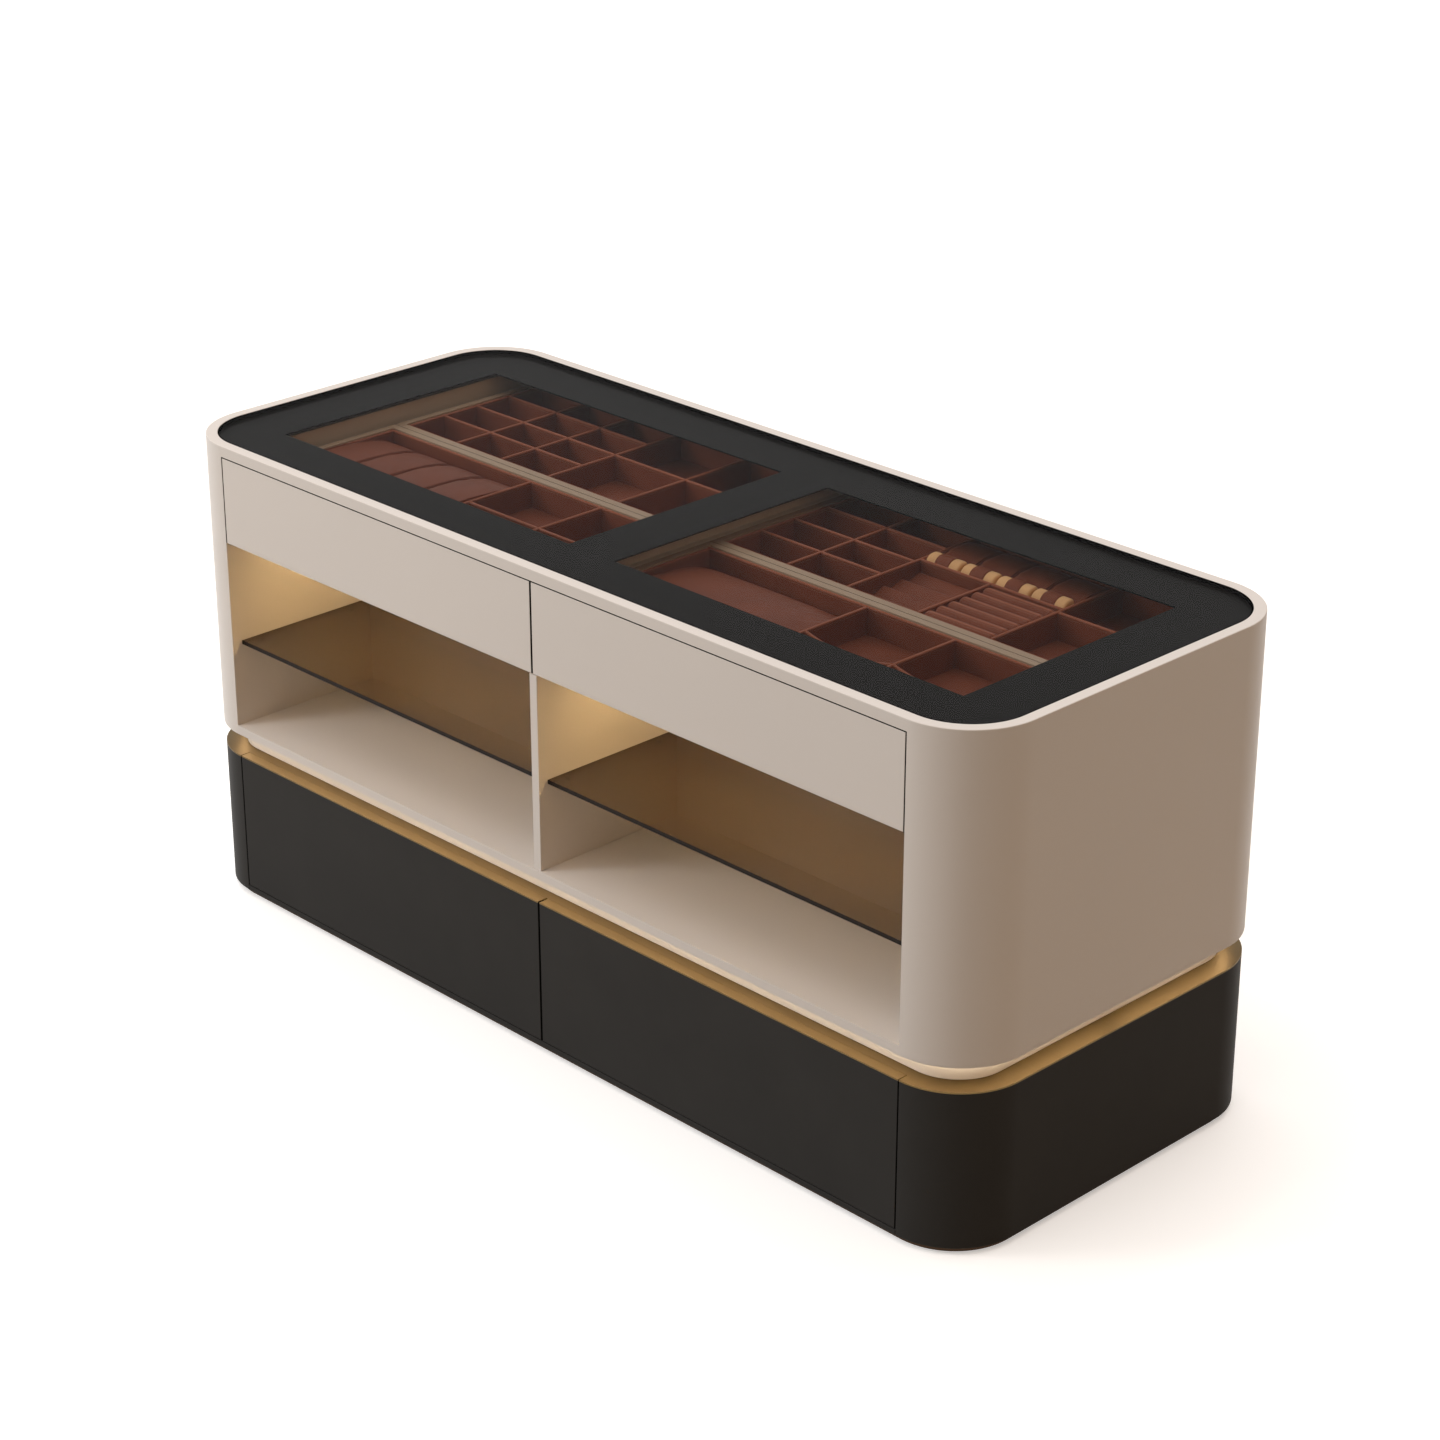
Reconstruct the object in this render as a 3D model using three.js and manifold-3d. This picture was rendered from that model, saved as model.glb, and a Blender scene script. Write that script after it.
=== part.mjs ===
// Closet island with drawers, open to both long sides.
// Millimetres. X runs along the island, Y through it from the front to the rear, Z up from the floor.
// The origin is the centre of the footprint on the floor. The front is at -Y, and the rear is the front
// turned half a turn, apart from the layout of the jewellery trays.
import * as THREE from 'three';
import { mergeVertices } from 'three/addons/utils/BufferGeometryUtils.js';
import Module from 'manifold-3d';

const wasm = await Module();
wasm.setup();

// Overall form
const islandLength = 2000;
const islandDepth = 800;
const cornerRadius = 137;
const arcSteps = 8;

// Heights of the stacked parts, from the floor up
const toeHeight = 12;
const baseHeight = 290;
const revealHeight = 45;
const caseHeight = 583;

// Insets from the case's outline
const baseInset = 2;
const toeInset = 14;
const revealInset = 42.5;
const dividerInset = 2;
const shelfInset = 21;

// Walls and boards
const caseWall = 22;
const baseWall = 18;
const boardThickness = 18;
const baseBottomThickness = 10;
const deckThickness = 18;
const brassThickness = 3;
const thinPanel = 9;
const ceilingThickness = 12;

// Clearances
const fitGap = 0.3;
const frontGap = 2.5;
const centreGap = 4.5;
const glassGap = 0.6;
const backToBackGap = 1.5;
const runnerGap = 0.4;
const cutOverrun = 5;

// Top: rail, glass and the black border below it
const railHeight = 21;
const railLedgeWidth = 20;
const glassThickness = 8;
const borderThickness = 3;
const windowSpacing = 124;
const windowEndInset = 148;
const windowSideInset = 140;

// Drawer fronts and boxes
const frontThickness = 20;
const upperFrontHeight = 167.5;
const gripBevelHeight = 12;
const gripBevelDepth = 8;
const boxWall = 15;
const boxBottom = 9;
const boxSideClearance = 15;
const upperBoxTopDrop = 50;
const lowerBoxHeadroom = 22;
const upperTravelRoom = 25;

// Runners below the boxes
const runnerWidth = 14;
const runnerHeight = 10;
const sliderHeight = 6;
const runnerInset = 20;
const runnerEndMargin = 30;

// Niches
const serviceDepth = 140;
const nicheCeilingRise = 43;
const shelfThickness = 8;
const shelfRise = 163;
const shelfSideGap = 1;
const pinRadius = 3;
const pinSides = 12;
const pinReach = 9;
const pinInset = 45;

// Light bars
const lightWidth = 16;
const lightHeight = 8;
const lightEndMargin = 40;
const nicheLightDepthShare = 0.5;
const revealLightWidth = 10;
const revealLightHeight = 6;
const revealLightInset = 26;
const revealLightSpacing = 12;

// Driver of the light bars, in the space between the niche backs
const driverLength = 240;
const driverDepth = 60;
const driverHeight = 42;

// Jewellery trays
const trayRimDrop = 2;
const trayFloor = 8;
const trayWall = 7;
const ribCount = 6;
const ribValley = 6;
const rackSteps = 4;
const rackRise = 14;
const rackSlope = 16;
const insertGap = 1.5;
const insertSeat = 0.3;
const watchCushionHeight = 56;
const watchLobePinch = 9;
const watchLobeRound = 14;
const padHeight = 44;
const padRound = 46;
const scoopDip = 14;
const watchLobes = 4;
const cushionSkirtShare = 0.12;
const cushionTuckShare = 0.15;
const cushionFullness = 0.6;
const seamDrawShare = 0.5;
const trayCoreShare = 0.455;

// Derived levels
const toeTop = toeHeight;
const baseTop = toeTop + baseHeight;
const caseBottom = baseTop + revealHeight;
const caseTop = caseBottom + caseHeight;
const baseFloorTop = toeTop + baseBottomThickness;
const brassBottom = baseTop - brassThickness;
const deckTop = brassBottom - fitGap;
const deckBottom = deckTop - deckThickness;
const nicheFloor = caseBottom + boardThickness;
const recessFloor = caseTop - glassThickness - borderThickness - 2 * fitGap;
const upperFrontTop = caseTop - railHeight - frontGap;
const upperFrontBottom = upperFrontTop - upperFrontHeight;
const ceilingBottom = upperFrontBottom + nicheCeilingRise;
const ceilingTop = ceilingBottom + ceilingThickness;
const shelfBottom = nicheFloor + shelfRise;

// Derived plan sizes
const halfLength = islandLength / 2;
const halfDepth = islandDepth / 2;
const openingHalf = halfLength - cornerRadius;
const partitionHalf = boardThickness / 2;
const nicheBackY = serviceDepth / 2;
const nicheDepth = halfDepth - nicheBackY;
const upperFrontBackY = halfDepth - frontThickness;
const baseHalfDepth = halfDepth - baseInset;
const baseFrontBackY = baseHalfDepth - frontThickness;

// Finishes
const finish = (colour, roughness, metalness, extra = {}) =>
  new THREE.MeshStandardMaterial({ color: colour, roughness, metalness, ...extra });
const lacquer = () => finish('#cdc3b8', 0.42, 0);
const blackCladding = () => finish('#37373a', 0.55, 0);
const brass = () => finish('#b08a52', 0.22, 1);
const bronze = () => finish('#5d4730', 0.4, 1);
const boxBoard = () => finish('#b7a68d', 0.55, 0);
const leather = () => finish('#8a4338', 0.6, 0);
const smokedGlass = () => finish('#4a3626', 0.05, 0, { transparent: true, opacity: 0.55 });
const blackBorder = () => finish('#0e0d0c', 0.15, 0);
const lightBar = () => finish('#ffd9a0', 0.4, 0, { emissive: new THREE.Color('#ffc27a') });
const driverCase = () => finish('#d8d8d4', 0.5, 0);

const island = new THREE.Group();

function place(name, geometry, material, turned = false) {
  const mesh = new THREE.Mesh(geometry, material);
  mesh.name = name;
  mesh.rotation.z = turned ? Math.PI : 0;
  island.add(mesh);
  return mesh;
}

// Solids for cutting and joining
function toSolid(geometry) {
  const bare = geometry.clone();
  bare.deleteAttribute('normal');
  bare.deleteAttribute('uv');
  const merged = mergeVertices(bare);
  const vertProperties = new Float32Array(merged.attributes.position.array);
  const triVerts = new Uint32Array(merged.index.array);
  return new wasm.Manifold(new wasm.Mesh({ numProp: 3, vertProperties, triVerts }));
}

function toGeometry(solid) {
  const mesh = solid.getMesh();
  const geometry = new THREE.BufferGeometry();
  geometry.setAttribute('position', new THREE.BufferAttribute(mesh.vertProperties, 3));
  geometry.setIndex(new THREE.BufferAttribute(mesh.triVerts, 1));
  geometry.computeVertexNormals();
  return geometry;
}

function cut(body, tools) {
  return toGeometry(tools.reduce((rest, tool) => rest.subtract(toSolid(tool)), toSolid(body)));
}

function join(parts) {
  const solids = parts.map(toSolid);
  return toGeometry(solids.reduce((whole, part) => whole.add(part)));
}

// Basic forms: a board between limits, a plan outline raised between two levels, a profile run along X
function board(x, y, z) {
  const size = [x, y, z].map(([low, high]) => high - low);
  const centre = [x, y, z].map(([low, high]) => (low + high) / 2);
  return new THREE.BoxGeometry(...size).translate(...centre);
}

function raise(outline, bottom, top) {
  const settings = { depth: top - bottom, bevelEnabled: false, curveSegments: arcSteps };
  return new THREE.ExtrudeGeometry(outline, settings).translate(0, 0, bottom);
}

function runAlongX(profile, x0, x1) {
  const settings = { depth: x1 - x0, bevelEnabled: false, curveSegments: arcSteps };
  const basis = new THREE.Matrix4().makeBasis(
    new THREE.Vector3(0, 1, 0),
    new THREE.Vector3(0, 0, 1),
    new THREE.Vector3(1, 0, 0),
  );
  return new THREE.ExtrudeGeometry(profile, settings).applyMatrix4(basis).translate(x0, 0, 0);
}

function polygon(points) {
  return new THREE.Shape(points.map(([a, b]) => new THREE.Vector2(a, b)));
}

const both = (half) => [-half, half];

// Limits on one side of the middle: side is -1 for the front or left, 1 for the rear or right.
function sided(side, near, far) {
  return side < 0 ? [-far, -near] : [near, far];
}

function roundedOutline(inset) {
  const x = halfLength - inset;
  const y = halfDepth - inset;
  const radius = cornerRadius - inset;
  const outline = new THREE.Shape();
  outline.absarc(x - radius, radius - y, radius, -Math.PI / 2, 0, false);
  outline.absarc(x - radius, y - radius, radius, 0, Math.PI / 2, false);
  outline.absarc(radius - x, y - radius, radius, Math.PI / 2, Math.PI, false);
  outline.absarc(radius - x, radius - y, radius, Math.PI, 1.5 * Math.PI, false);
  outline.closePath();
  return outline;
}

// End column seen from above: a flat side towards the openings and two round corners outside.
function columnOutline(flatX, inset) {
  const radius = cornerRadius - inset;
  const centreX = halfLength - cornerRadius;
  const centreY = halfDepth - cornerRadius;
  const start = Math.acos((flatX - centreX) / radius);
  const outline = new THREE.Shape();
  outline.absarc(centreX, -centreY, radius, -start, 0, false);
  outline.absarc(centreX, centreY, radius, 0, start, false);
  outline.closePath();
  return outline;
}

function columnShell({ inset, wall, bottom, top }) {
  const outer = raise(columnOutline(openingHalf, inset), bottom, top);
  const hollow = columnOutline(openingHalf + boardThickness, inset + wall);
  return { outer, hollow: raise(hollow, bottom + boardThickness, top + cutOverrun) };
}

// Pins that carry a glass shelf, through or into the wall at x.
function shelfPins(x0, x1) {
  const length = x1 - x0;
  const shelfFront = halfDepth - shelfInset;
  const rows = [shelfFront - pinInset, nicheBackY + pinInset];
  const places = rows.flatMap((y) => [y, -y]);
  return places.map((y) =>
    new THREE.CylinderGeometry(pinRadius, pinRadius, length, pinSides)
      .rotateZ(Math.PI / 2)
      .translate((x0 + x1) / 2, y, shelfBottom - fitGap - pinRadius),
  );
}

// Base: toe board, bottom, end columns, partition, deck and brass plate
function buildBase() {
  place('toe_plinth', raise(roundedOutline(toeInset), 0, toeTop), bronze());
  const floorX = both(openingHalf - fitGap);
  const rails = runnerBars(baseFloorTop, boxSpan(), baseFrontBackY);
  const floor = board(floorX, both(baseHalfDepth), [toeTop + fitGap, baseFloorTop]);
  place('base_bottom', join([floor, ...rails]), blackCladding());

  const bottom = toeTop + fitGap;
  const { outer, hollow } = columnShell({ inset: baseInset, wall: baseWall, bottom, top: deckTop });
  const column = cut(outer, [hollow]);
  place('base_end_right', column, blackCladding());
  place('base_end_left', column.clone(), blackCladding(), true);

  const partitionZ = [baseFloorTop + fitGap, deckBottom - fitGap];
  const partitionY = both(baseFrontBackY - frontGap);
  place('base_partition', board(both(partitionHalf), partitionY, partitionZ), boxBoard());

  const deckX = both(openingHalf - fitGap);
  place('deck_board', board(deckX, partitionY, [deckBottom, deckTop]), blackCladding());

  const plate = raise(roundedOutline(baseInset), brassBottom, baseTop);
  const notchZ = [brassBottom - cutOverrun, baseTop + cutOverrun];
  const notchY = [baseFrontBackY - fitGap, halfDepth + cutOverrun];
  const notches = [-1, 1].map((side) => board(both(openingHalf), sided(side, ...notchY), notchZ));
  place('brass_deck', cut(plate, notches), brass());
}

// Reveal between base and case: the plinth, and a light bar along each half of the case's lower edge
function buildReveal() {
  const z = [baseTop + fitGap, caseBottom - fitGap];
  place('reveal_plinth', raise(roundedOutline(revealInset), ...z), lacquer());
  const top = caseBottom - fitGap;
  const bottom = top - revealLightHeight;
  const whole = raise(roundedOutline(revealLightInset), bottom, top);
  const inside = roundedOutline(revealLightInset + revealLightWidth);
  const cutZ = [bottom - cutOverrun, top + cutOverrun];
  const otherHalf = board(both(halfLength), [-revealLightSpacing / 2, halfDepth], cutZ);
  const bar = cut(whole, [raise(inside, ...cutZ), otherHalf]);
  place('reveal_light_front', bar, lightBar());
  place('reveal_light_rear', bar.clone(), lightBar(), true);
}

// Bars of the runners that lie on a board, two below each drawer box
function runnerBars(level, span, frontBackY) {
  const [inner, outer] = span;
  const nearY = runnerEndMargin;
  const farY = frontBackY - runnerEndMargin;
  const bars = [];
  for (const hand of [-1, 1]) {
    for (const side of [-1, 1]) {
      for (const x of [inner + runnerInset, outer - runnerInset - runnerWidth]) {
        const z = [level - fitGap, level + runnerHeight];
        bars.push(board(sided(hand, x, x + runnerWidth), sided(side, nearY, farY), z));
      }
    }
  }
  return bars;
}

function boxSpan() {
  return [partitionHalf + boxSideClearance, openingHalf - boxSideClearance];
}

// Case: bottom, end columns, top rails, dividers, backs and the board above the niches
function buildCase() {
  const bottomX = both(openingHalf - fitGap);
  place('case_bottom', board(bottomX, both(halfDepth), [caseBottom, nicheFloor]), lacquer());

  const { outer, hollow } = columnShell({ inset: 0, wall: caseWall, bottom: caseBottom, top: caseTop });
  const recess = raise(roundedOutline(caseWall), recessFloor, caseTop + cutOverrun);
  const hollowed = cut(outer, [hollow, recess]);
  const pins = shelfPins(openingHalf - pinReach, openingHalf + partitionHalf);
  const column = join([hollowed, ...pins]);
  place('case_end_right', column, lacquer());
  place('case_end_left', column.clone(), lacquer(), true);

  const railBottom = caseTop - railHeight;
  const ledgeY = halfDepth - caseWall - railLedgeWidth;
  const rail = polygon([
    [-halfDepth, railBottom],
    [-ledgeY, railBottom],
    [-ledgeY, recessFloor],
    [caseWall - halfDepth, recessFloor],
    [caseWall - halfDepth, caseTop],
    [-halfDepth, caseTop],
  ]);
  const railBody = runAlongX(rail, fitGap - openingHalf, openingHalf - fitGap);
  place('top_rail_front', railBody, lacquer());
  place('top_rail_rear', railBody.clone(), lacquer(), true);

  const ceilingY = both(upperFrontBackY - upperTravelRoom);
  const rails = runnerBars(ceilingTop, boxSpan(), upperFrontBackY - upperTravelRoom);
  const ceiling = board(bottomX, ceilingY, [ceilingBottom, ceilingTop]);
  place('niche_ceiling', join([ceiling, ...rails]), lacquer());

  place('drawer_partition', partitionPanel(railBottom, ledgeY), lacquer());
}

// Upright between the upper drawers: its top is stepped down at both ends, below the rails.
function partitionPanel(railBottom, ledgeY) {
  const endY = upperFrontBackY - frontGap;
  const stepY = ledgeY - fitGap;
  const bottom = ceilingTop + fitGap;
  const step = railBottom - fitGap;
  const top = recessFloor - fitGap;
  const profile = polygon([
    [-endY, bottom],
    [endY, bottom],
    [endY, step],
    [stepY, step],
    [stepY, top],
    [-stepY, top],
    [-stepY, step],
    [-endY, step],
  ]);
  return runAlongX(profile, -partitionHalf, partitionHalf);
}

function buildNiches() {
  const z = [nicheFloor + fitGap, ceilingBottom - fitGap];
  const backX = both(openingHalf - fitGap);
  const dividerPins = shelfPins(-partitionHalf - pinReach, partitionHalf + pinReach);
  for (const [label, side] of [['front', -1], ['rear', 1]]) {
    place(`niche_back_${label}`, board(backX, sided(side, nicheBackY - thinPanel, nicheBackY), z), lacquer());
    const pins = dividerPins.filter((pin) => {
      pin.computeBoundingBox();
      return Math.sign(pin.boundingBox.max.y) === side;
    });
    place(`niche_divider_${label}`, join([dividerPanel(side, z), ...pins]), lacquer());
    for (const [handLabel, hand] of [['left', -1], ['right', 1]]) {
      buildShelf(`glass_shelf_${label}_${handLabel}`, hand, side);
      buildNicheLight(`niche_light_${label}_${handLabel}`, hand, side);
    }
  }
}

// Divider between two niches, stepped down in front so that it ends below the drawer fronts.
function dividerPanel(side, [bottom, top]) {
  const backY = side * (nicheBackY + fitGap);
  const stepY = side * (upperFrontBackY - frontGap);
  const frontY = side * (halfDepth - dividerInset);
  const step = upperFrontBottom - frontGap;
  const profile = polygon([
    [backY, bottom],
    [frontY, bottom],
    [frontY, step],
    [stepY, step],
    [stepY, top],
    [backY, top],
  ]);
  return runAlongX(profile, -partitionHalf, partitionHalf);
}

function buildShelf(name, hand, side) {
  const x = sided(hand, partitionHalf + shelfSideGap, openingHalf - shelfSideGap);
  const y = sided(side, nicheBackY + shelfSideGap, halfDepth - shelfInset);
  place(name, board(x, y, [shelfBottom, shelfBottom + shelfThickness]), smokedGlass());
}

function buildNicheLight(name, hand, side) {
  const x = sided(hand, partitionHalf + lightEndMargin, openingHalf - lightEndMargin);
  const middle = halfDepth - nicheDepth * nicheLightDepthShare;
  const y = sided(side, middle - lightWidth / 2, middle + lightWidth / 2);
  const top = ceilingBottom - fitGap;
  place(name, board(x, y, [top - lightHeight, top]), lightBar());
}

// Top: black border with two windows, and the glass over it
function buildTop() {
  const outline = roundedOutline(caseWall + glassGap);
  const glassBottom = caseTop - glassThickness;
  place('glass_top', raise(outline, glassBottom, caseTop), smokedGlass());
  const borderTop = glassBottom - fitGap;
  const borderBottom = borderTop - borderThickness;
  const windows = [-1, 1].map((hand) => {
    const x = sided(hand, windowSpacing / 2, halfLength - windowEndInset);
    return board(x, both(halfDepth - windowSideInset), [borderBottom - cutOverrun, borderTop + cutOverrun]);
  });
  place('glass_border', cut(raise(outline, borderBottom, borderTop), windows), blackBorder());
}

// Drawer box with two sliders below it; the front side carries the drawer front.
function drawerBox({ hand, side, frontBackY, sliderBottom, top }) {
  const [inner, outer] = boxSpan();
  const nearY = backToBackGap / 2;
  const farY = frontBackY - fitGap;
  const bottom = sliderBottom + sliderHeight;
  const shell = board(sided(hand, inner, outer), sided(side, nearY, farY), [bottom, top]);
  const cavity = board(
    sided(hand, inner + boxWall, outer - boxWall),
    sided(side, nearY + boxWall, farY - boxWall),
    [bottom + boxBottom, top + cutOverrun],
  );
  const sliders = [inner + runnerInset, outer - runnerInset - runnerWidth].map((x) => {
    const y = sided(side, nearY, farY);
    return board(sided(hand, x, x + runnerWidth), y, [sliderBottom, bottom + fitGap]);
  });
  return toGeometry(toSolid(join([shell, ...sliders])).subtract(toSolid(cavity)));
}

function frontSpan(hand) {
  return sided(hand, centreGap / 2, openingHalf - frontGap);
}

// Upper drawer front: its lower back edge is bevelled to take the fingers.
function buildUpperDrawer(label, hand, side) {
  const profile = polygon([
    [upperFrontBackY, upperFrontBottom + gripBevelHeight],
    [upperFrontBackY + frontThickness - gripBevelDepth, upperFrontBottom],
    [halfDepth, upperFrontBottom],
    [halfDepth, upperFrontTop],
    [upperFrontBackY, upperFrontTop],
  ]);
  const turned = side < 0;
  const [x0, x1] = frontSpan(turned ? -hand : hand);
  place(`upper_front_${label}`, runAlongX(profile, x0, x1), lacquer(), turned);

  const sliderBottom = ceilingTop + runnerHeight + runnerGap;
  const top = caseTop - upperBoxTopDrop;
  const frontBackY = upperFrontBackY;
  const box = drawerBox({ hand, side, frontBackY, sliderBottom, top });
  place(`upper_box_${label}`, box, boxBoard());
  buildTray(label, hand, side, sliderBottom + sliderHeight + boxBottom + fitGap, top - trayRimDrop);
}

function buildLowerDrawer(label, hand, side) {
  const capBottom = baseTop - brassThickness;
  const frontX = frontSpan(hand);
  const frontY = sided(side, baseFrontBackY, baseHalfDepth);
  const frontBottom = baseFloorTop + frontGap;
  const front = board(frontX, frontY, [frontBottom, capBottom - fitGap]);
  place(`lower_front_${label}`, front, blackCladding());
  place(`brass_cap_${label}`, board(frontX, frontY, [capBottom, baseTop]), brass());

  const sliderBottom = baseFloorTop + runnerHeight + runnerGap;
  const top = deckBottom - lowerBoxHeadroom;
  const frontBackY = baseFrontBackY;
  place(`lower_box_${label}`, drawerBox({ hand, side, frontBackY, sliderBottom, top }), boxBoard());
}

// Jewellery trays. Bays run from the left end of the tray to its right end, as shares of its inner
// length, and rows run from the front to the rear, as shares of its inner depth.
const quarterRowShares = [0.25, 0.25, 0.25, 0.25];
const halfRowShares = [0.5, 0.5];
const frontRowShares = [0.56, 0.44];
const wholeRowShares = [1];
const trayBays = {
  front_left: [
    { share: 0.509, rowShares: wholeRowShares, insert: 'watch' },
    { share: 0.2445, rowShares: frontRowShares },
    { share: 0.2465, rowShares: frontRowShares },
  ],
  front_right: [
    { share: 0.482, rowShares: wholeRowShares, insert: 'pad' },
    { share: 0.255, rowShares: frontRowShares, scooped: true },
    { share: 0.263, rowShares: frontRowShares, scooped: true },
  ],
  rear_left: [
    { share: 0.175, rowShares: quarterRowShares },
    { share: 0.164, rowShares: quarterRowShares },
    { share: 0.17, rowShares: quarterRowShares },
    { share: 0.2445, rowShares: halfRowShares },
    { share: 0.2465, rowShares: halfRowShares },
  ],
  rear_right: [
    { share: 0.186, rowShares: quarterRowShares },
    { share: 0.185, rowShares: quarterRowShares },
    { share: 0.416, rowShares: [1 - trayCoreShare, trayCoreShare], insert: 'core' },
    { share: 0.213, rowShares: halfRowShares },
  ],
};

// Stretches of a span split by shares, with half a divider taken from each inner end.
function splitSpan([low, high], shares) {
  const stretches = [];
  let start = low;
  for (const share of shares) {
    const end = start + (high - low) * share;
    stretches.push([start, end]);
    start = end;
  }
  return stretches.map(([from, to], i) => [
    i === 0 ? from : from + trayWall / 2,
    i === stretches.length - 1 ? to : to - trayWall / 2,
  ]);
}

function buildTray(label, hand, side, bottom, rim) {
  const [inner, outer] = boxSpan();
  const trayX = sided(hand, inner + boxWall + fitGap, outer - boxWall - fitGap);
  const nearY = backToBackGap / 2 + boxWall + fitGap;
  const farY = upperFrontBackY - fitGap - boxWall - fitGap;
  const trayY = sided(side, nearY, farY);
  const floor = bottom + trayFloor;
  const innerX = [trayX[0] + trayWall, trayX[1] - trayWall];
  const innerY = [trayY[0] + trayWall, trayY[1] - trayWall];
  const bays = trayBays[label];
  const columns = splitSpan(innerX, bays.map((bay) => bay.share));
  const cells = [];
  bays.forEach((bay, i) => {
    const rows = splitSpan(innerY, bay.rowShares);
    rows.forEach((row, j) => {
      if (bay.insert === 'core' && j === 0) {
        const halves = splitSpan(columns[i], halfRowShares);
        cells.push(...halves.map((half) => board(half, row, [floor, rim + cutOverrun])));
        return;
      }
      cells.push(board(columns[i], row, [floor, rim + cutOverrun]));
    });
    if (bay.scooped) {
      cells.push(scoop(columns[i], rows, rim));
    }
  });
  let tray = cut(board(trayX, trayY, [bottom, rim]), cells);
  bays.forEach((bay, i) => {
    const rows = splitSpan(innerY, bay.rowShares);
    if (bay.insert === 'watch') {
      buildWatchCushion(label, columns[i], rows[0], floor);
    }
    if (bay.insert === 'pad') {
      buildNecklacePad(label, columns[i], rows[0], floor);
    }
    if (bay.insert === 'core') {
      const [rackX, ringX] = splitSpan(columns[i], halfRowShares);
      tray = join([tray, braceletRack(rackX, rows[0], floor)]);
      buildRingRoll(label, ringX, rows[0], floor, rim);
      buildWatchCushion(label, columns[i], rows[1], floor);
    }
  });
  place(`tray_${label}`, tray, leather());
}

// Shallow arc cut into the top of the divider between two rows.
function scoop([x0, x1], rows, rim) {
  const wallY = [rows[0][1] - cutOverrun, rows[1][0] + cutOverrun];
  const shape = new THREE.Shape();
  shape.moveTo(x0, rim + cutOverrun);
  shape.lineTo(x0, rim);
  shape.quadraticCurveTo((x0 + x1) / 2, rim - 2 * scoopDip, x1, rim);
  shape.lineTo(x1, rim + cutOverrun);
  shape.closePath();
  const depth = wallY[1] - wallY[0];
  const settings = { depth, bevelEnabled: false, curveSegments: arcSteps };
  return new THREE.ExtrudeGeometry(shape, settings).rotateX(Math.PI / 2).translate(0, wallY[1], 0);
}

// Stepped rack for bracelets: each step leans back towards the next one.
function braceletRack(x, [y0, y1], floor) {
  const pitch = (y1 - y0) / rackSteps;
  const points = [[y0, floor - fitGap]];
  for (let i = 0; i < rackSteps; i += 1) {
    points.push([y0 + i * pitch, floor + rackRise]);
    points.push([y0 + (i + 1) * pitch, floor + rackRise + rackSlope]);
  }
  points.push([y1, floor - fitGap]);
  return runAlongX(polygon(points.reverse()), ...x);
}

// Ring roll: soft ribs side by side that nearly touch, on a common pad.
function buildRingRoll(label, x, y, floor, rim) {
  const seat = floor + insertSeat;
  const y0 = y[0] + insertGap;
  const y1 = y[1] - insertGap;
  const radius = (y1 - y0) / ribCount / 2;
  const axisZ = rim - radius;
  const lift = Math.asin(ribValley / radius);
  const shape = new THREE.Shape();
  shape.moveTo(y1, seat);
  for (let i = ribCount - 1; i >= 0; i -= 1) {
    const centre = y0 + (2 * i + 1) * radius;
    const from = i === ribCount - 1 ? 0 : lift;
    const to = i === 0 ? Math.PI : Math.PI - lift;
    shape.absarc(centre, axisZ, radius, from, to, false);
  }
  shape.lineTo(y0, seat);
  shape.closePath();
  place(`ring_roll_${label}`, runAlongX(shape, x[0] + insertGap, x[1] - insertGap), leather());
}

// Closed skin over rings of points, with a fan over each end ring
function skin(rings) {
  const count = rings[0].length;
  const centres = [rings[0], rings[rings.length - 1]].map((ring) =>
    ring.reduce((sum, point) => sum.add(point), new THREE.Vector3()).divideScalar(count),
  );
  const points = [...rings.flat(), ...centres];
  const faces = [];
  for (let i = 0; i + 1 < rings.length; i += 1) {
    for (let j = 0; j < count; j += 1) {
      const a = i * count + j;
      const b = i * count + ((j + 1) % count);
      faces.push(a, b, b + count, a, b + count, a + count);
    }
  }
  const first = rings.length * count;
  const last = (rings.length - 1) * count;
  for (let j = 0; j < count; j += 1) {
    const next = (j + 1) % count;
    faces.push(first, next, j);
    faces.push(first + 1, last + j, last + next);
  }
  const geometry = new THREE.BufferGeometry().setFromPoints(points);
  geometry.setIndex(faces);
  geometry.computeVertexNormals();
  return geometry;
}

// Section of a cushion as shares of its half width and height: a crowned top, a short upright skirt,
// and a flat underside that is tucked in.
const sectionSteps = 18;
const cushionSection = Array.from({ length: sectionSteps }, (_, i) => {
  const angle = (2 * Math.PI * i) / sectionSteps;
  const across = Math.sign(Math.cos(angle)) * Math.abs(Math.cos(angle)) ** cushionFullness;
  const rise = Math.sin(angle);
  if (rise >= 0) {
    return [across, cushionSkirtShare + (1 - cushionSkirtShare) * rise];
  }
  return [across * (1 + rise * cushionTuckShare), cushionSkirtShare * (1 + rise)];
});

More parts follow.
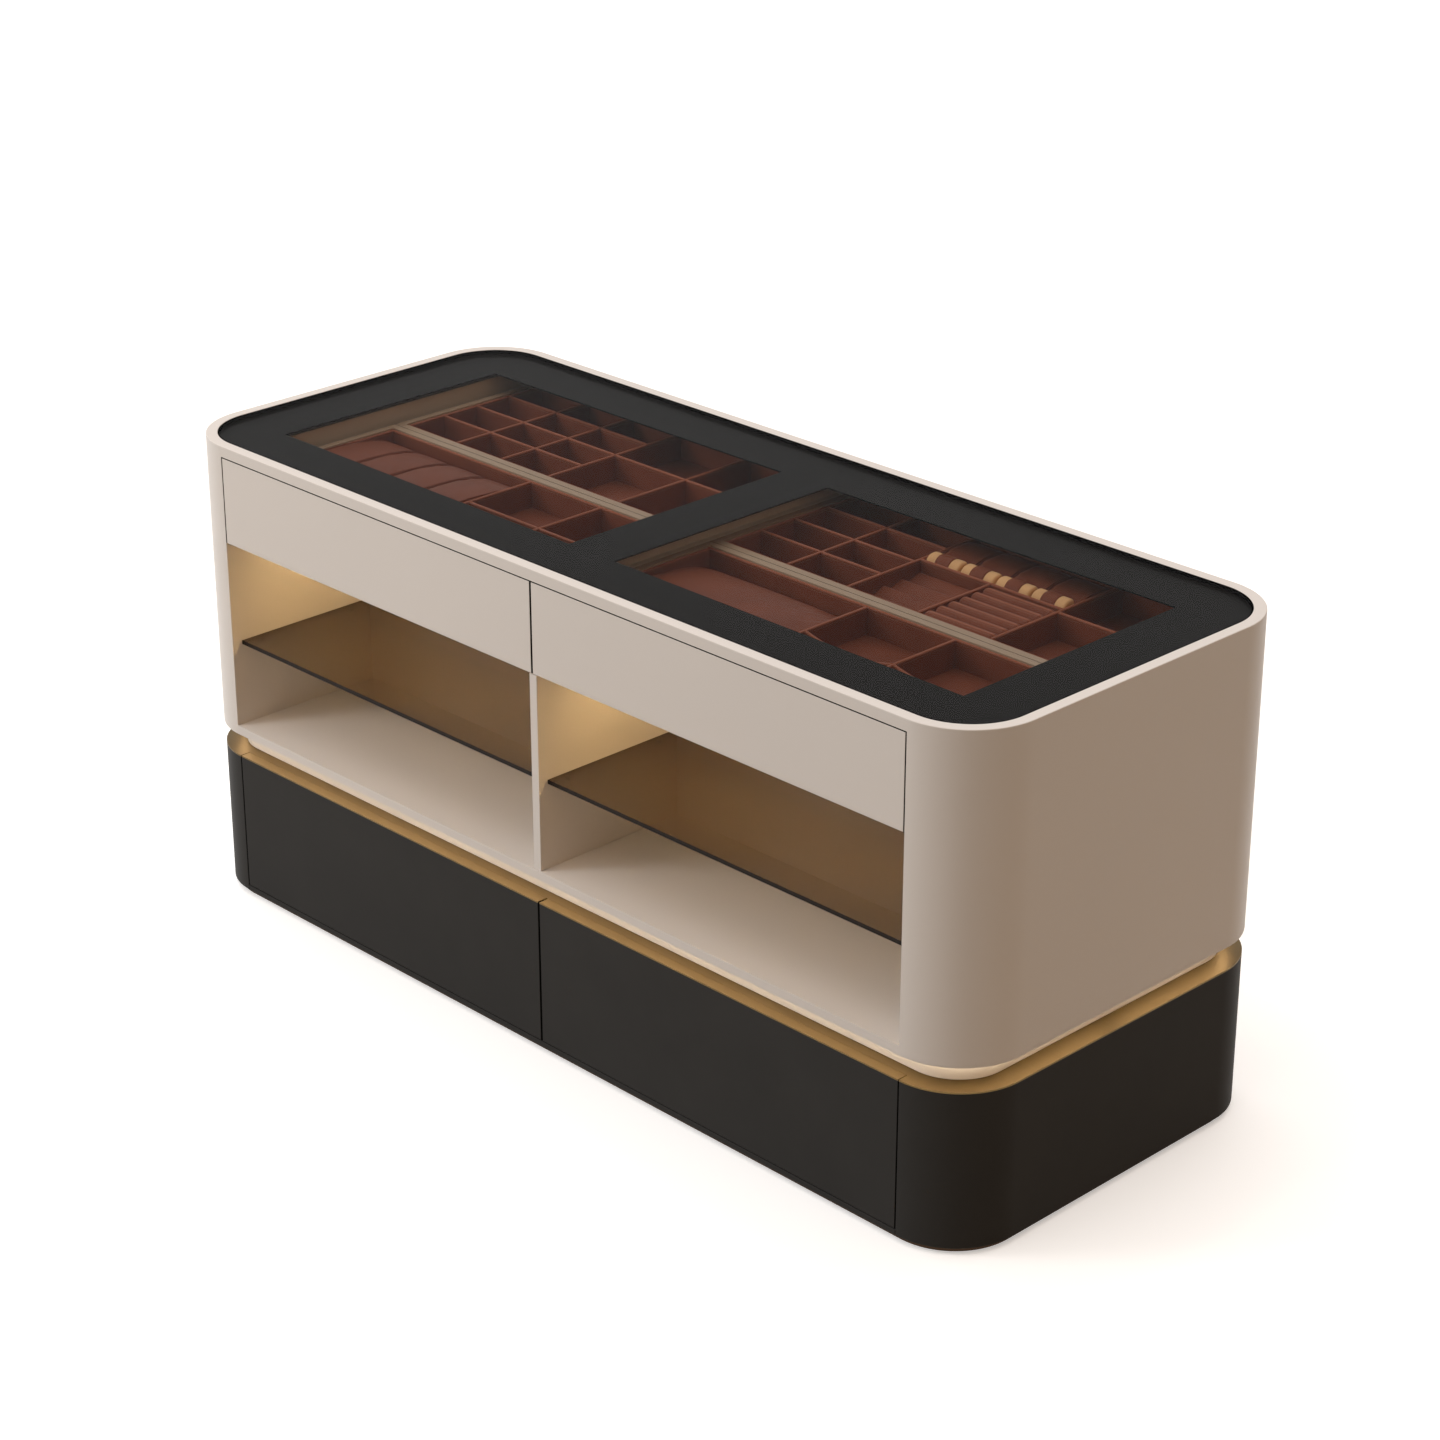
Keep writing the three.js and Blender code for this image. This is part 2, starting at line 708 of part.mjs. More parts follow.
// Bolster along X: a crowned section that draws in at the ends and at the seams between its lobes.
function bolster({ x, y, floor, height, lobes, pinch, round }) {
  const stepsPerLobe = 10;
  const steps = lobes * stepsPerLobe;
  const middleY = (y[0] + y[1]) / 2;
  const halfY = (y[1] - y[0]) / 2;
  const rings = [];
  for (let i = 0; i <= steps; i += 1) {
    const t = (1 - Math.cos((Math.PI * (i % stepsPerLobe)) / stepsPerLobe)) / 2;
    const along = (Math.floor(i / stepsPerLobe) + t) / lobes;
    const atEnd = i === 0 || i === steps;
    const seam = atEnd ? round : pinch;
    const swell = Math.sqrt(Math.max(0, 1 - (2 * t - 1) ** 2 * (1 - (1 - seam / height) ** 2)));
    const drawn = 1 - (1 - swell) * seamDrawShare;
    rings.push(
      cushionSection.map(([across, up]) => new THREE.Vector3(
        x[0] + (x[1] - x[0]) * along,
        middleY + halfY * across * drawn,
        floor + insertSeat + height * up * swell,
      )),
    );
  }
  return skin(rings);
}

function buildWatchCushion(label, x, y, floor) {
  const form = {
    x: [x[0] + insertGap, x[1] - insertGap],
    y: [y[0] + insertGap, y[1] - insertGap],
    floor,
    height: watchCushionHeight,
    lobes: watchLobes,
    pinch: watchLobePinch,
    round: watchLobeRound,
  };
  place(`watch_cushion_${label}`, bolster(form), leather());
}

function buildNecklacePad(label, x, y, floor) {
  const form = {
    x: [x[0] + insertGap, x[1] - insertGap],
    y: [y[0] + insertGap, y[1] - insertGap],
    floor,
    height: padHeight,
    lobes: 1,
    pinch: 0,
    round: padRound,
  };
  place(`necklace_pad_${label}`, bolster(form), leather());
}

function buildDriver() {
  const z = [nicheFloor + fitGap, nicheFloor + fitGap + driverHeight];
  place('light_driver', board(both(driverLength / 2), both(driverDepth / 2), z), driverCase());
}

buildBase();
buildReveal();
buildCase();
buildNiches();
buildTop();
buildDriver();
for (const [sideLabel, side] of [['front', -1], ['rear', 1]]) {
  for (const [handLabel, hand] of [['left', -1], ['right', 1]]) {
    buildUpperDrawer(`${sideLabel}_${handLabel}`, hand, side);
    buildLowerDrawer(`${sideLabel}_${handLabel}`, hand, side);
  }
}

export default island;
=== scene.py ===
"""Closet island with drawers: the finished look of every piece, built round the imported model.

Metres. X runs along the island, Y from the front to the rear, Z up from the floor. The front is at -Y.
"""

import logging
import math
from collections.abc import Callable
from dataclasses import dataclass, field
from enum import Enum
from itertools import product

import bpy
import numpy as np
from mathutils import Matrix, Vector
from mathutils.geometry import tessellate_polygon


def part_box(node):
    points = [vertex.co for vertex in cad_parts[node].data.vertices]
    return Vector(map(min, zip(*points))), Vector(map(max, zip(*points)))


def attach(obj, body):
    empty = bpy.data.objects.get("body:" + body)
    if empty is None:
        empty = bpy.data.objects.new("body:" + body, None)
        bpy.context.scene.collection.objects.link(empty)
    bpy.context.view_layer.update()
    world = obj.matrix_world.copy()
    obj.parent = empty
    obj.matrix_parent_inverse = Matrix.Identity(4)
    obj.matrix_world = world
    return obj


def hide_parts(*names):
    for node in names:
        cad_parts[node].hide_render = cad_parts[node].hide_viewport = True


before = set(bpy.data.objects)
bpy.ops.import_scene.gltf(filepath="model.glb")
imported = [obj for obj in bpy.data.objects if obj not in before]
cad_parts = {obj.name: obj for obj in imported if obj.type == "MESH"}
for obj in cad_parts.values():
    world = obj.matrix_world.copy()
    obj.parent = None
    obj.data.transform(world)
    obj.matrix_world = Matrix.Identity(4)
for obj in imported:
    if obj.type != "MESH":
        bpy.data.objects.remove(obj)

log = logging.getLogger("closet_island")

MM = 0.001
HAIRLINE = 0.3 * MM
PAST_SEAMS = 9.0

Colour = tuple[float, float, float]
Span = tuple[float, float]
Sockets = dict[str | int, object]

WHITE: Colour = (1.0, 1.0, 1.0)


class Placed(Enum):
    """A choice of place, whose name is also a word in the names of nodes."""

    @property
    def label(self) -> str:
        """That word."""
        return self.name.lower()


class Side(Placed):
    """The two long sides of the island, with the sign of their Y."""

    FRONT = -1
    REAR = 1


class Hand(Placed):
    """The two halves of the island's length, with the sign of their X."""

    LEFT = -1
    RIGHT = 1


class Axis(Enum):
    """The direction along which a flat outline is raised, as the order that gives X, Y and Z."""

    X = (2, 0, 1)
    Y = (0, 2, 1)
    Z = (0, 1, 2)


class Insert(Enum):
    """What a bay of a jewellery tray holds."""

    NONE = "none"
    WATCHES = "watches"
    NECKLACES = "necklaces"
    RINGS_AND_WATCHES = "rings_and_watches"


@dataclass(frozen=True)
class Box:
    """An upright box between two corners."""

    low: np.ndarray
    high: np.ndarray

    @classmethod
    def of(cls, node: str) -> "Box":
        """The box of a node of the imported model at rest."""
        low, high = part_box(node)
        return cls(np.array(low), np.array(high))

    @property
    def x(self) -> Span:
        """Its lowest and highest X."""
        return float(self.low[0]), float(self.high[0])

    @property
    def y(self) -> Span:
        """Its lowest and highest Y."""
        return float(self.low[1]), float(self.high[1])

    @property
    def z(self) -> Span:
        """Its lowest and highest Z."""
        return float(self.low[2]), float(self.high[2])


@dataclass(frozen=True)
class Outline:
    """A closed outline in a plane, run anticlockwise, with the outward normal at each point."""

    points: np.ndarray
    normals: np.ndarray

    def inset(self, distance: float) -> np.ndarray:
        """The outline's points moved inwards by a distance."""
        return self.points - self.normals * distance


@dataclass(frozen=True)
class Body:
    """A closed surface.

    Attributes:
        vertices: The points, one row each.
        faces: The corners of each face, as rows of point numbers.
        follow: For each point the distance along the piece and across its crest, for stitches and the painted
            crest highlight.
    """

    vertices: np.ndarray
    faces: list[list[int]]
    follow: np.ndarray | None = None

    def turned(self) -> "Body":
        """The same body after half a turn about the upright axis."""
        return Body(self.vertices * np.array([-1.0, -1.0, 1.0]), self.faces, self.follow)

    def moved(self, x: float) -> "Body":
        """The same body moved along the island."""
        return Body(self.vertices + np.array([x, 0.0, 0.0]), self.faces, self.follow)

    def outward(self) -> "Body":
        """The same body with its faces pointing out.

        The sign of the volume tells the side: each face is split into a fan of triangles, and each
        triangle with the origin makes a tetrahedron of a sixth of the triple product.
        """
        fans = [(f[0], f[i], f[i + 1]) for f in self.faces for i in range(1, len(f) - 1)]
        corners = self.vertices[np.array(fans)]
        volume = np.einsum("ij,ij->i", corners[:, 0], np.cross(corners[:, 1], corners[:, 2])).sum()
        if volume >= 0:
            return self
        return Body(self.vertices, [face[::-1] for face in self.faces], self.follow)


def joined(bodies: list[Body]) -> Body:
    """Several bodies kept as one.

    Args:
        bodies: The bodies, each closed in itself.

    Returns:
        One body with all their surfaces. Where a body has no follow values, it gets ones past every seam.
    """
    starts = np.cumsum([0] + [len(body.vertices) for body in bodies])
    faces = [
        [index + int(start) for index in face] for body, start in zip(bodies, starts) for face in body.faces
    ]
    follow = None
    if any(body.follow is not None for body in bodies):
        follow = np.concatenate([
            np.full((len(body.vertices), 2), PAST_SEAMS) if body.follow is None else body.follow
            for body in bodies
        ])
    return Body(np.concatenate([body.vertices for body in bodies]), faces, follow)


def both_ways(bodies: list[Body]) -> Body:
    """Bodies together with the same ones after half a turn about the upright axis."""
    once = joined(bodies)
    return joined([once, once.turned()])


def ordered(first: float, second: float) -> Span:
    """The span between two places."""
    return min(first, second), max(first, second)


def filleted(corners: list[Span], radii: list[float], steps: int = 5) -> Outline:
    """An outline through corners, each rounded by an arc.

    A corner's arc touches both of its edges: its centre lies on the corner's bisector at the radius
    over the sine of half the angle, and the normals of its points run through that centre.

    Args:
        corners: The corners, anticlockwise.
        radii: The radius of each corner, or nought for a sharp one.
        steps: The stretches of each arc.

    Returns:
        The outline with its normals.
    """
    points, normals = [], []
    places = np.array(corners, float)
    for i, radius in enumerate(radii):
        here = places[i]
        back = places[i - 1] - here
        ahead = places[(i + 1) % len(places)] - here
        back, ahead = back / np.linalg.norm(back), ahead / np.linalg.norm(ahead)
        if radius == 0:
            entering, leaving = np.array([-back[1], back[0]]), np.array([ahead[1], -ahead[0]])
            points.append(here[None, :])
            normals.append(((entering + leaving) / (1 + entering @ leaving))[None, :])
            continue
        half = math.acos(np.clip(back @ ahead, -1, 1)) / 2
        convex = math.copysign(1.0, ahead[0] * back[1] - ahead[1] * back[0])
        middle = (back + ahead) / np.linalg.norm(back + ahead)
        centre = here + middle * radius / math.sin(half)
        start = here + back * radius / math.tan(half) - centre
        turn = convex * (math.pi - 2 * half)
        angles = math.atan2(start[1], start[0]) + turn * np.linspace(0, 1, steps + 1)
        rays = np.column_stack([np.cos(angles), np.sin(angles)])
        points.append(centre + radius * rays)
        normals.append(convex * rays)
    return Outline(np.concatenate(points), np.concatenate(normals))


def rectangle(x: Span, y: Span) -> list[Span]:
    """The four corners of a rectangle, anticlockwise."""
    return [(x[0], y[0]), (x[1], y[0]), (x[1], y[1]), (x[0], y[1])]


def level_ring(plan: np.ndarray, z: float) -> np.ndarray:
    """Points in plan raised to a level."""
    return np.column_stack([plan, np.full(len(plan), z)])


def stack(rings: list[np.ndarray], closed: bool = False) -> Body:
    """A skin over rings of as many points each.

    Point j of ring i joins point j + 1 and the same two of ring i + 1. The first and the last ring
    are each closed by one face, unless the last ring joins the first.

    Args:
        rings: The rings, one array of points each.
        closed: True where the last ring joins the first.

    Returns:
        The body with its faces pointing out.
    """
    count, total = len(rings[0]), len(rings)
    spans = total if closed else total - 1
    i, j = np.meshgrid(np.arange(spans), np.arange(count), indexing="ij")
    across, up = (j + 1) % count, (i + 1) % total
    quads = np.stack([i * count + j, i * count + across, up * count + across, up * count + j], axis=-1)
    faces = quads.reshape(-1, 4).tolist()
    if not closed:
        faces.append(list(range(count))[::-1])
        faces.append(list(range((total - 1) * count, total * count)))
    return Body(np.concatenate(rings), faces).outward()


def quarter(edge: float, steps: int = 3) -> tuple[np.ndarray, np.ndarray]:
    """The inset and the height of a quarter-round edge, from the flat face to the upright side."""
    angles = np.linspace(0, math.pi / 2, steps + 1)
    return edge * (1 - np.sin(angles)), edge * (1 - np.cos(angles))


def prism(
    outline: Outline, span: Span, edges: Span = (0.0, 0.0), axis: Axis = Axis.Z, steps: int = 3
) -> Body:
    """An outline raised along an axis, with rounded edges at both ends.

    Args:
        outline: The section.
        span: Where it starts and ends along the axis.
        edges: The edge radius at the start and at the end.
        axis: The axis that it is raised along.
        steps: The stretches of each rounded edge.

    Returns:
        The closed body.
    """
    insets, levels = [], []
    for end, edge, sign in ((span[0], edges[0], 1), (span[1], edges[1], -1)):
        inset, rise = quarter(edge, steps) if edge > 0 else (np.zeros(1), np.zeros(1))
        insets.append(inset[::sign])
        levels.append((end + sign * rise)[::sign])
    rings = [
        level_ring(outline.inset(inset), level)[:, list(axis.value)]
        for inset, level in zip(np.concatenate(insets), np.concatenate(levels))
    ]
    return stack(rings)


def board(x: Span, y: Span, z: Span, edge: float = 0.8 * MM, corner_share: float = 1.3) -> Body:
    """A board with softened edges, and upright corners that are a little rounder."""
    outline = filleted(rectangle(x, y), [edge * corner_share] * 4, 3)
    return prism(outline, z, (edge, edge))


def disc(centre: Span, radius: float, steps: int = 24) -> Outline:
    """A round outline."""
    angles = np.linspace(0, 2 * math.pi, steps, endpoint=False)
    rays = np.column_stack([np.cos(angles), np.sin(angles)])
    return Outline(np.array(centre) + radius * rays, rays)


def column_section(flat: float, centre: Span, radius: float, seam: float, steps: int) -> Outline:
    """The section of an end column: a flat side towards the openings and two round corners outside.

    Each round corner is an arc about its centre. It meets the flat side in a small arc that touches
    both: its centre lies a seam's radius inside the flat side, and that much nearer to the centre.

    Args:
        flat: The X of the flat side.
        centre: The centre of the rear round corner. The front one lies opposite, across X.
        radius: The radius of the round corners.
        seam: The radius of the corners at the flat side.
        steps: The stretches of each round corner.

    Returns:
        The outline of the right-hand column.
    """
    reach, seam_points = radius - seam, 5
    across = flat + seam - centre[0]
    meeting = math.acos(across / reach)
    away = centre[1] + math.sqrt(reach**2 - across**2)
    arcs = [
        ((flat + seam, -away), seam, np.linspace(math.pi, 2 * math.pi - meeting, seam_points)),
        ((centre[0], -centre[1]), radius, np.linspace(-meeting, 0, steps + 1)[1:]),
        (centre, radius, np.linspace(0, meeting, steps + 1)),
        ((flat + seam, away), seam, np.linspace(meeting, math.pi, seam_points)[1:]),
    ]
    rays = [np.column_stack([np.cos(angles), np.sin(angles)]) for _, _, angles in arcs]
    points = [np.array(middle) + size * ray for (middle, size, _), ray in zip(arcs, rays)]
    return Outline(np.concatenate(points), np.concatenate(rays))


def swept(outline: Outline, profile: list[Span]) -> Body:
    """A profile of inset and height, carried round a closed outline."""
    return stack([level_ring(outline.inset(inset), z) for inset, z in profile], closed=True)


def railed(path: Outline, section: list[Span]) -> Body:
    """A section of inset and height, carried along an open path and closed at both ends."""
    return stack(list(np.stack([level_ring(path.inset(inset), z) for inset, z in section], axis=1)))


def tube(route: np.ndarray, radius: float, sides: int = 8) -> Body:
    """A round cord along a route.

    At each point the ring lies square to the route: one of its axes is the cross product of the
    route's direction with a fixed direction that the route never takes, and the other completes it.

    Args:
        route: The points of the middle line.
        radius: The cord's radius.
        sides: The points of each ring.

    Returns:
        The closed body.
    """
    ahead = np.gradient(route, axis=0)
    ahead /= np.linalg.norm(ahead, axis=1)[:, None]
    fixed = np.eye(3)[int(np.argmin(np.ptp(route, axis=0)))]
    first = np.cross(ahead, fixed)
    first /= np.linalg.norm(first, axis=1)[:, None]
    second = np.cross(ahead, first)
    angles = np.linspace(0, 2 * math.pi, sides, endpoint=False)[None, :, None]
    rays = np.cos(angles) * first[:, None, :] + np.sin(angles) * second[:, None, :]
    return stack(list(route[:, None, :] + radius * rays))


def cup(outer: Outline, inner: Outline, levels: tuple[float, float, float], edge: float) -> Body:
    """A wall with a floor: up the outer outline, over the top and down the inner one.

    Args:
        outer: The outer outline.
        inner: The inner outline, with as many points.
        levels: The underside, the floor's top and the wall's top.
        edge: The radius of the lower outer edge.

    Returns:
        The closed body.
    """
    under, floor, top = levels
    rings = [level_ring(outer.inset(d), under + z) for d, z in zip(*quarter(edge))]
    rings += [level_ring(outer.points, top), level_ring(inner.points, top), level_ring(inner.points, floor)]
    return stack(rings)


def windowed(outline: np.ndarray, windows: list[np.ndarray], z: Span) -> Body:
    """A plate with windows: a top and an underside of triangles, joined by the walls of every loop.

    Args:
        outline: The outer loop, anticlockwise.
        windows: The loops of the windows, anticlockwise.
        z: The underside and the top.

    Returns:
        The closed body.
    """
    loops = [outline] + [window[::-1] for window in windows]
    flat = np.concatenate(loops)
    triangles = tessellate_polygon([[Vector((x, y, 0)) for x, y in loop] for loop in loops])
    count = len(flat)
    faces = []
    for a, b, c in triangles:
        first, second = flat[b] - flat[a], flat[c] - flat[a]
        if first[0] * second[1] - first[1] * second[0] < 0:
            b, c = c, b
        faces += [[a + count, b + count, c + count], [c, b, a]]
    start = 0
    for loop in loops:
        j = np.arange(len(loop))
        here, following = start + j, start + (j + 1) % len(loop)
        faces += np.stack([here, following, following + count, here + count], axis=-1).tolist()
        start += len(loop)
    levels = np.repeat(z, count)
    return Body(np.column_stack([np.tile(flat, (2, 1)), levels]), faces).outward()


def padded_wall(
    ends: tuple[Span, Span],
    thickness: float,
    z: Span,
    dip: float = 0.0,
    steps: int = 24,
    crown_share: float = 0.42,
) -> Body:
    """An upright partition wrapped in leather, with a rounded crest that may sag to a shallow scoop.

    The section is two upright sides joined by half an ellipse. Along the wall the crest drops by four
    times the dip times t times one minus t, so that it is lowest in the middle.

    Args:
        ends: The middle line's two ends in plan.
        thickness: The wall's thickness.
        z: The foot and the crest.
        dip: How far the crest sags in the middle.
        steps: The stretches along a wall that sags.
        crown_share: The height of the half ellipse, as a share of the thickness.

    Returns:
        The closed body, with the distance along it and from its crest for the stitches and the painted crest
        highlight.
    """
    start, end = np.array(ends[0]), np.array(ends[1])
    length = float(np.linalg.norm(end - start))
    ahead = (end - start) / length
    side = np.array([ahead[1], -ahead[0]])
    half, crown = thickness / 2, thickness * crown_share
    angles = np.linspace(0, math.pi, 9)
    across = np.concatenate([[half], half * np.cos(angles), [-half]])
    rise = np.concatenate([[0.0], (z[1] - z[0]) - crown + crown * np.sin(angles), [0.0]])
    t = np.linspace(0, 1, steps + 1 if dip else 2)
    rings, follow = [], []
    arc = np.abs(across) + np.maximum(0.0, (z[1] - z[0]) - crown - rise)
    for share in t:
        lift = rise - np.where(rise > 0, 4 * dip * share * (1 - share), 0.0)
        plan = start + ahead * length * share + side * across[:, None]
        rings.append(np.column_stack([plan, z[0] + lift]))
        follow.append(np.column_stack([np.full(len(across), length * share), arc]))
    skin = stack(rings)
    return Body(skin.vertices, skin.faces, np.concatenate(follow))


@dataclass(frozen=True)
class Value:
    """An output of a shader node. Arithmetic on it adds Math nodes."""

    graph: "Graph"
    socket: bpy.types.NodeSocket | None

    def __add__(self, other: "Value | float") -> "Value":
        """This value plus another."""
        return self.graph.math("ADD", self, other)

    __radd__ = __add__

    def __sub__(self, other: "Value | float") -> "Value":
        """This value less another."""
        return self.graph.math("SUBTRACT", self, other)

    def __rsub__(self, other: float) -> "Value":
        """A number less this value."""
        return self.graph.math("SUBTRACT", other, self)

    def __mul__(self, other: "Value | float") -> "Value":
        """This value times another."""
        return self.graph.math("MULTIPLY", self, other)

    __rmul__ = __mul__

    def __truediv__(self, other: "Value | float") -> "Value":
        """This value over another."""
        return self.graph.math("DIVIDE", self, other)

    def __lt__(self, other: "Value | float") -> "Value":
        """One where this value is the smaller, else nought."""
        return self.graph.math("LESS_THAN", self, other)

    def absolute(self) -> "Value":
        """This value without its sign."""
        return self.graph.math("ABSOLUTE", self)

    def fraction(self) -> "Value":
        """What this value has past its whole number."""
        return self.graph.math("FRACT", self)


class Graph:
    """The nodes of one material or of the world."""

    def __init__(self, tree: bpy.types.NodeTree) -> None:
        """Starts with no nodes."""
        self.tree = tree
        self.tree.nodes.clear()

    def node(
        self,
        kind: str,
        settings: dict[str, object] | None = None,
        inputs: Sockets | None = None,
        output: str | int = 0,
    ) -> Value:
        """Adds a node.

        Args:
            kind: The node's type.
            settings: Its properties, set first. The key stops holds a ramp's places and colours.
            inputs: The value or the link of each socket that doesn't keep its default.
            output: The output that is returned.

        Returns:
            That output.
        """
        made = self.tree.nodes.new(kind)
        for key, value in (settings or {}).items():
            if key != "stops":
                setattr(made, key, value)
                continue
            elements = made.color_ramp.elements
            while len(elements) < len(value):
                elements.new(1.0)
            for element, (place, colour) in zip(elements, value):
                element.position = place
                element.color = (*colour, 1.0)
        for key, value in (inputs or {}).items():
            self.feed(made.inputs[key], value)
        return Value(self, made.outputs[output] if len(made.outputs) else None)

    def feed(self, socket: bpy.types.NodeSocket, value: object) -> None:
        """Links a value to a socket, or sets the socket where the value is a plain one."""
        if isinstance(value, Value):
            self.tree.links.new(value.socket, socket)
            return
        if isinstance(value, tuple) and socket.type == "RGBA":
            value = (*value, 1.0)
        socket.default_value = value

    def math(self, operation: str, *values: "Value | float") -> Value:
        """A Math node on one or two values."""
        return self.node("ShaderNodeMath", {"operation": operation}, dict(enumerate(values)))

    def place(self) -> Value:
        """The point in the object's own coordinates, in metres."""
        return self.node("ShaderNodeTexCoord", output="Object")

    def stretched(self, vector: Value, scale: Colour) -> Value:
        """A vector scaled along each axis."""
        return self.node("ShaderNodeMapping", {}, {"Vector": vector, "Scale": scale})

    def noise(self, vector: Value, scale: float, detail: float = 2.0, roughness: float = 0.5) -> Value:
        """Soft noise from nought to one."""
        inputs = {"Vector": vector, "Scale": scale, "Detail": detail, "Roughness": roughness}
        return self.node("ShaderNodeTexNoise", {}, inputs)

    def cells(self, vector: Value, scale: float) -> Value:
        """The distance to the nearest edge, in a pattern of irregular cells."""
        settings = {"feature": "DISTANCE_TO_EDGE"}
        return self.node("ShaderNodeTexVoronoi", settings, {"Vector": vector, "Scale": scale}, "Distance")

    def parts(self, vector: Value) -> tuple[Value, Value, Value]:
        """The three numbers of a vector."""
        split = self.node("ShaderNodeSeparateXYZ", {}, {0: vector})
        outputs = split.socket.node.outputs
        return tuple(Value(self, outputs[i]) for i in range(3))

    def ramp(self, factor: Value, stops: list[tuple[float, Colour]]) -> Value:
        """A colour ramp."""
        return self.node("ShaderNodeValToRGB", {"stops": stops}, {"Fac": factor}, "Color")

    def mix(self, factor: "Value | float", first: "Value | Colour", second: "Value | Colour") -> Value:
        """Two colours mixed."""
        return self.node("ShaderNodeMix", {"data_type": "RGBA"}, {0: factor, 6: first, 7: second}, 2)

    def bump(self, height: Value, distance: float, strength: float, normal: Value | None = None) -> Value:
        """A normal that follows a height given in shares of a distance."""
        inputs: Sockets = {"Height": height, "Distance": distance, "Strength": strength}
        if normal is not None:
            inputs["Normal"] = normal
        return self.node("ShaderNodeBump", {}, inputs, "Normal")

    def looked_at(self) -> Value:
        """One where the camera looks, also in a mirror image or through glass, else nought."""
        outputs = self.node("ShaderNodeLightPath").socket.node.outputs
        camera, glossy, through = (
            Value(self, outputs[f"Is {kind} Ray"]) for kind in ("Camera", "Glossy", "Transmission")
        )
        return camera + glossy + through


def new_material(name: str) -> tuple[bpy.types.Material, Graph]:
    """An empty material and its graph."""
    material = bpy.data.materials.new(name)
    material.use_nodes = True
    return material, Graph(material.node_tree)


def linked(name: str, data: bpy.types.ID) -> bpy.types.Object:
    """An object in the scene that shows a mesh, a camera or a light."""
    made = bpy.data.objects.new(name, data)
    bpy.context.scene.collection.objects.link(made)
    return made


def new_object(name: str, vertices: np.ndarray, faces: list[list[int]]) -> bpy.types.Object:
    """A mesh object in the scene."""
    mesh = bpy.data.meshes.new(name)
    mesh.from_pydata(vertices, [], faces)
    return linked(name, mesh)


def shade(colour: Colour, share: float) -> Colour:
    """A colour made lighter or darker by a share."""
    return tuple(part * share for part in colour)


@dataclass(frozen=True)
class Finish:
    """A finish. Each kind says what feeds the surface shader.

    Attributes:
        name: The material's name.
        slot: The record's material slot, where one fits. Not used.
        colour: The base colour.
        roughness: The roughness, which most kinds vary a little.
    """

    name: str
    slot: str | None
    colour: Colour
    roughness: float = 0.5

    def build(self) -> bpy.types.Material:
        """Makes the material."""
        material, graph = new_material(self.name)
        shader = graph.node("ShaderNodeBsdfPrincipled", {}, self.sockets(graph, graph.place()))
        graph.node("ShaderNodeOutputMaterial", {}, {"Surface": shader})
        return material

    def sockets(self, graph: Graph, place: Value) -> Sockets:
        """The surface shader's inputs, from the place on the piece."""
        raise NotImplementedError

    def toned(self, pattern: Value, low: float, high: float) -> Value:
        """The colour times a share that a pattern moves from a low to a high one."""
        return pattern.graph.mix(pattern, shade(self.colour, low), shade(self.colour, high))

    def varied(self, pattern: Value, amount: float) -> Value:
        """The roughness, moved up and down by a pattern round a half."""
        return self.roughness + (pattern - 0.5) * amount


@dataclass(frozen=True)
class Lacquer(Finish):
    """Sprayed satin lacquer: a faint cloud in the colour and the fine orange peel of the spray gun."""

    def sockets(self, graph: Graph, place: Value) -> Sockets:
        """Cloud in the colour, smears in the gloss, peel in the relief."""
        return {
            "Base Color": self.toned(graph.noise(place, 2.3, 3.0), 0.965, 1.035),
            "Roughness": self.varied(graph.noise(place, 9.0, 4.0), 0.10),
            "Normal": graph.bump(graph.noise(place, 420.0, 1.0), 0.05 * MM, 0.35),
        }


@dataclass(frozen=True)
class BlackCladding(Finish):
    """Black grained cladding: small pebbled cells with a shallow diagonal rib, almost matt."""

    def sockets(self, graph: Graph, place: Value) -> Sockets:
        """Cloud in the colour and the gloss, cells and ribs in the relief."""
        ribs = graph.node(
            "ShaderNodeTexWave",
            {"wave_type": "BANDS", "bands_direction": "DIAGONAL"},
            {"Vector": place, "Scale": 110.0, "Distortion": 1.2, "Detail": 1.0},
            "Fac",
        )
        cloud = graph.noise(place, 6.0, 3.0)
        return {
            "Base Color": self.toned(cloud, 0.85, 1.2),
            "Roughness": self.varied(cloud, 0.12),
            "Specular IOR Level": 0.03,
            "Normal": graph.bump(graph.cells(place, 520.0) * 0.8 + ribs * 0.35, 0.12 * MM, 0.5),
        }


@dataclass(frozen=True)
class Brass(Finish):
    """Brushed brass or bronze plate: fine lines along the island and a slightly uneven tone."""

    def sockets(self, graph: Graph, place: Value) -> Sockets:
        """Clouds in the colour, brushed lines in the gloss and the relief."""
        lines = graph.noise(graph.stretched(place, (1.0, 60.0, 60.0)), 24.0, 3.0)
        return {
            "Base Color": self.toned(graph.noise(place, 5.0, 2.0), 0.9, 1.1),
            "Metallic": 1.0,
            "Roughness": self.varied(lines, 0.16),
            "Normal": graph.bump(lines, 0.02 * MM, 0.25),
        }


@dataclass(frozen=True)
class BoxBoard(Finish):
    """Taupe laminate of the drawer boxes, with a fine printed grain along the board."""

    def sockets(self, graph: Graph, place: Value) -> Sockets:
        """Grain in the colour, pores in the gloss and the relief."""
        grain = graph.noise(graph.stretched(place, (1.0, 14.0, 14.0)), 26.0, 6.0, 0.65)
        pores = graph.noise(graph.stretched(place, (1.0, 40.0, 40.0)), 60.0, 2.0)
        return {
            "Base Color": self.toned(grain, 0.8, 1.15),
            "Roughness": self.varied(pores, 0.2),
            "Specular IOR Level": 0.25,
            "Normal": graph.bump(pores, 0.06 * MM, 0.4),
        }


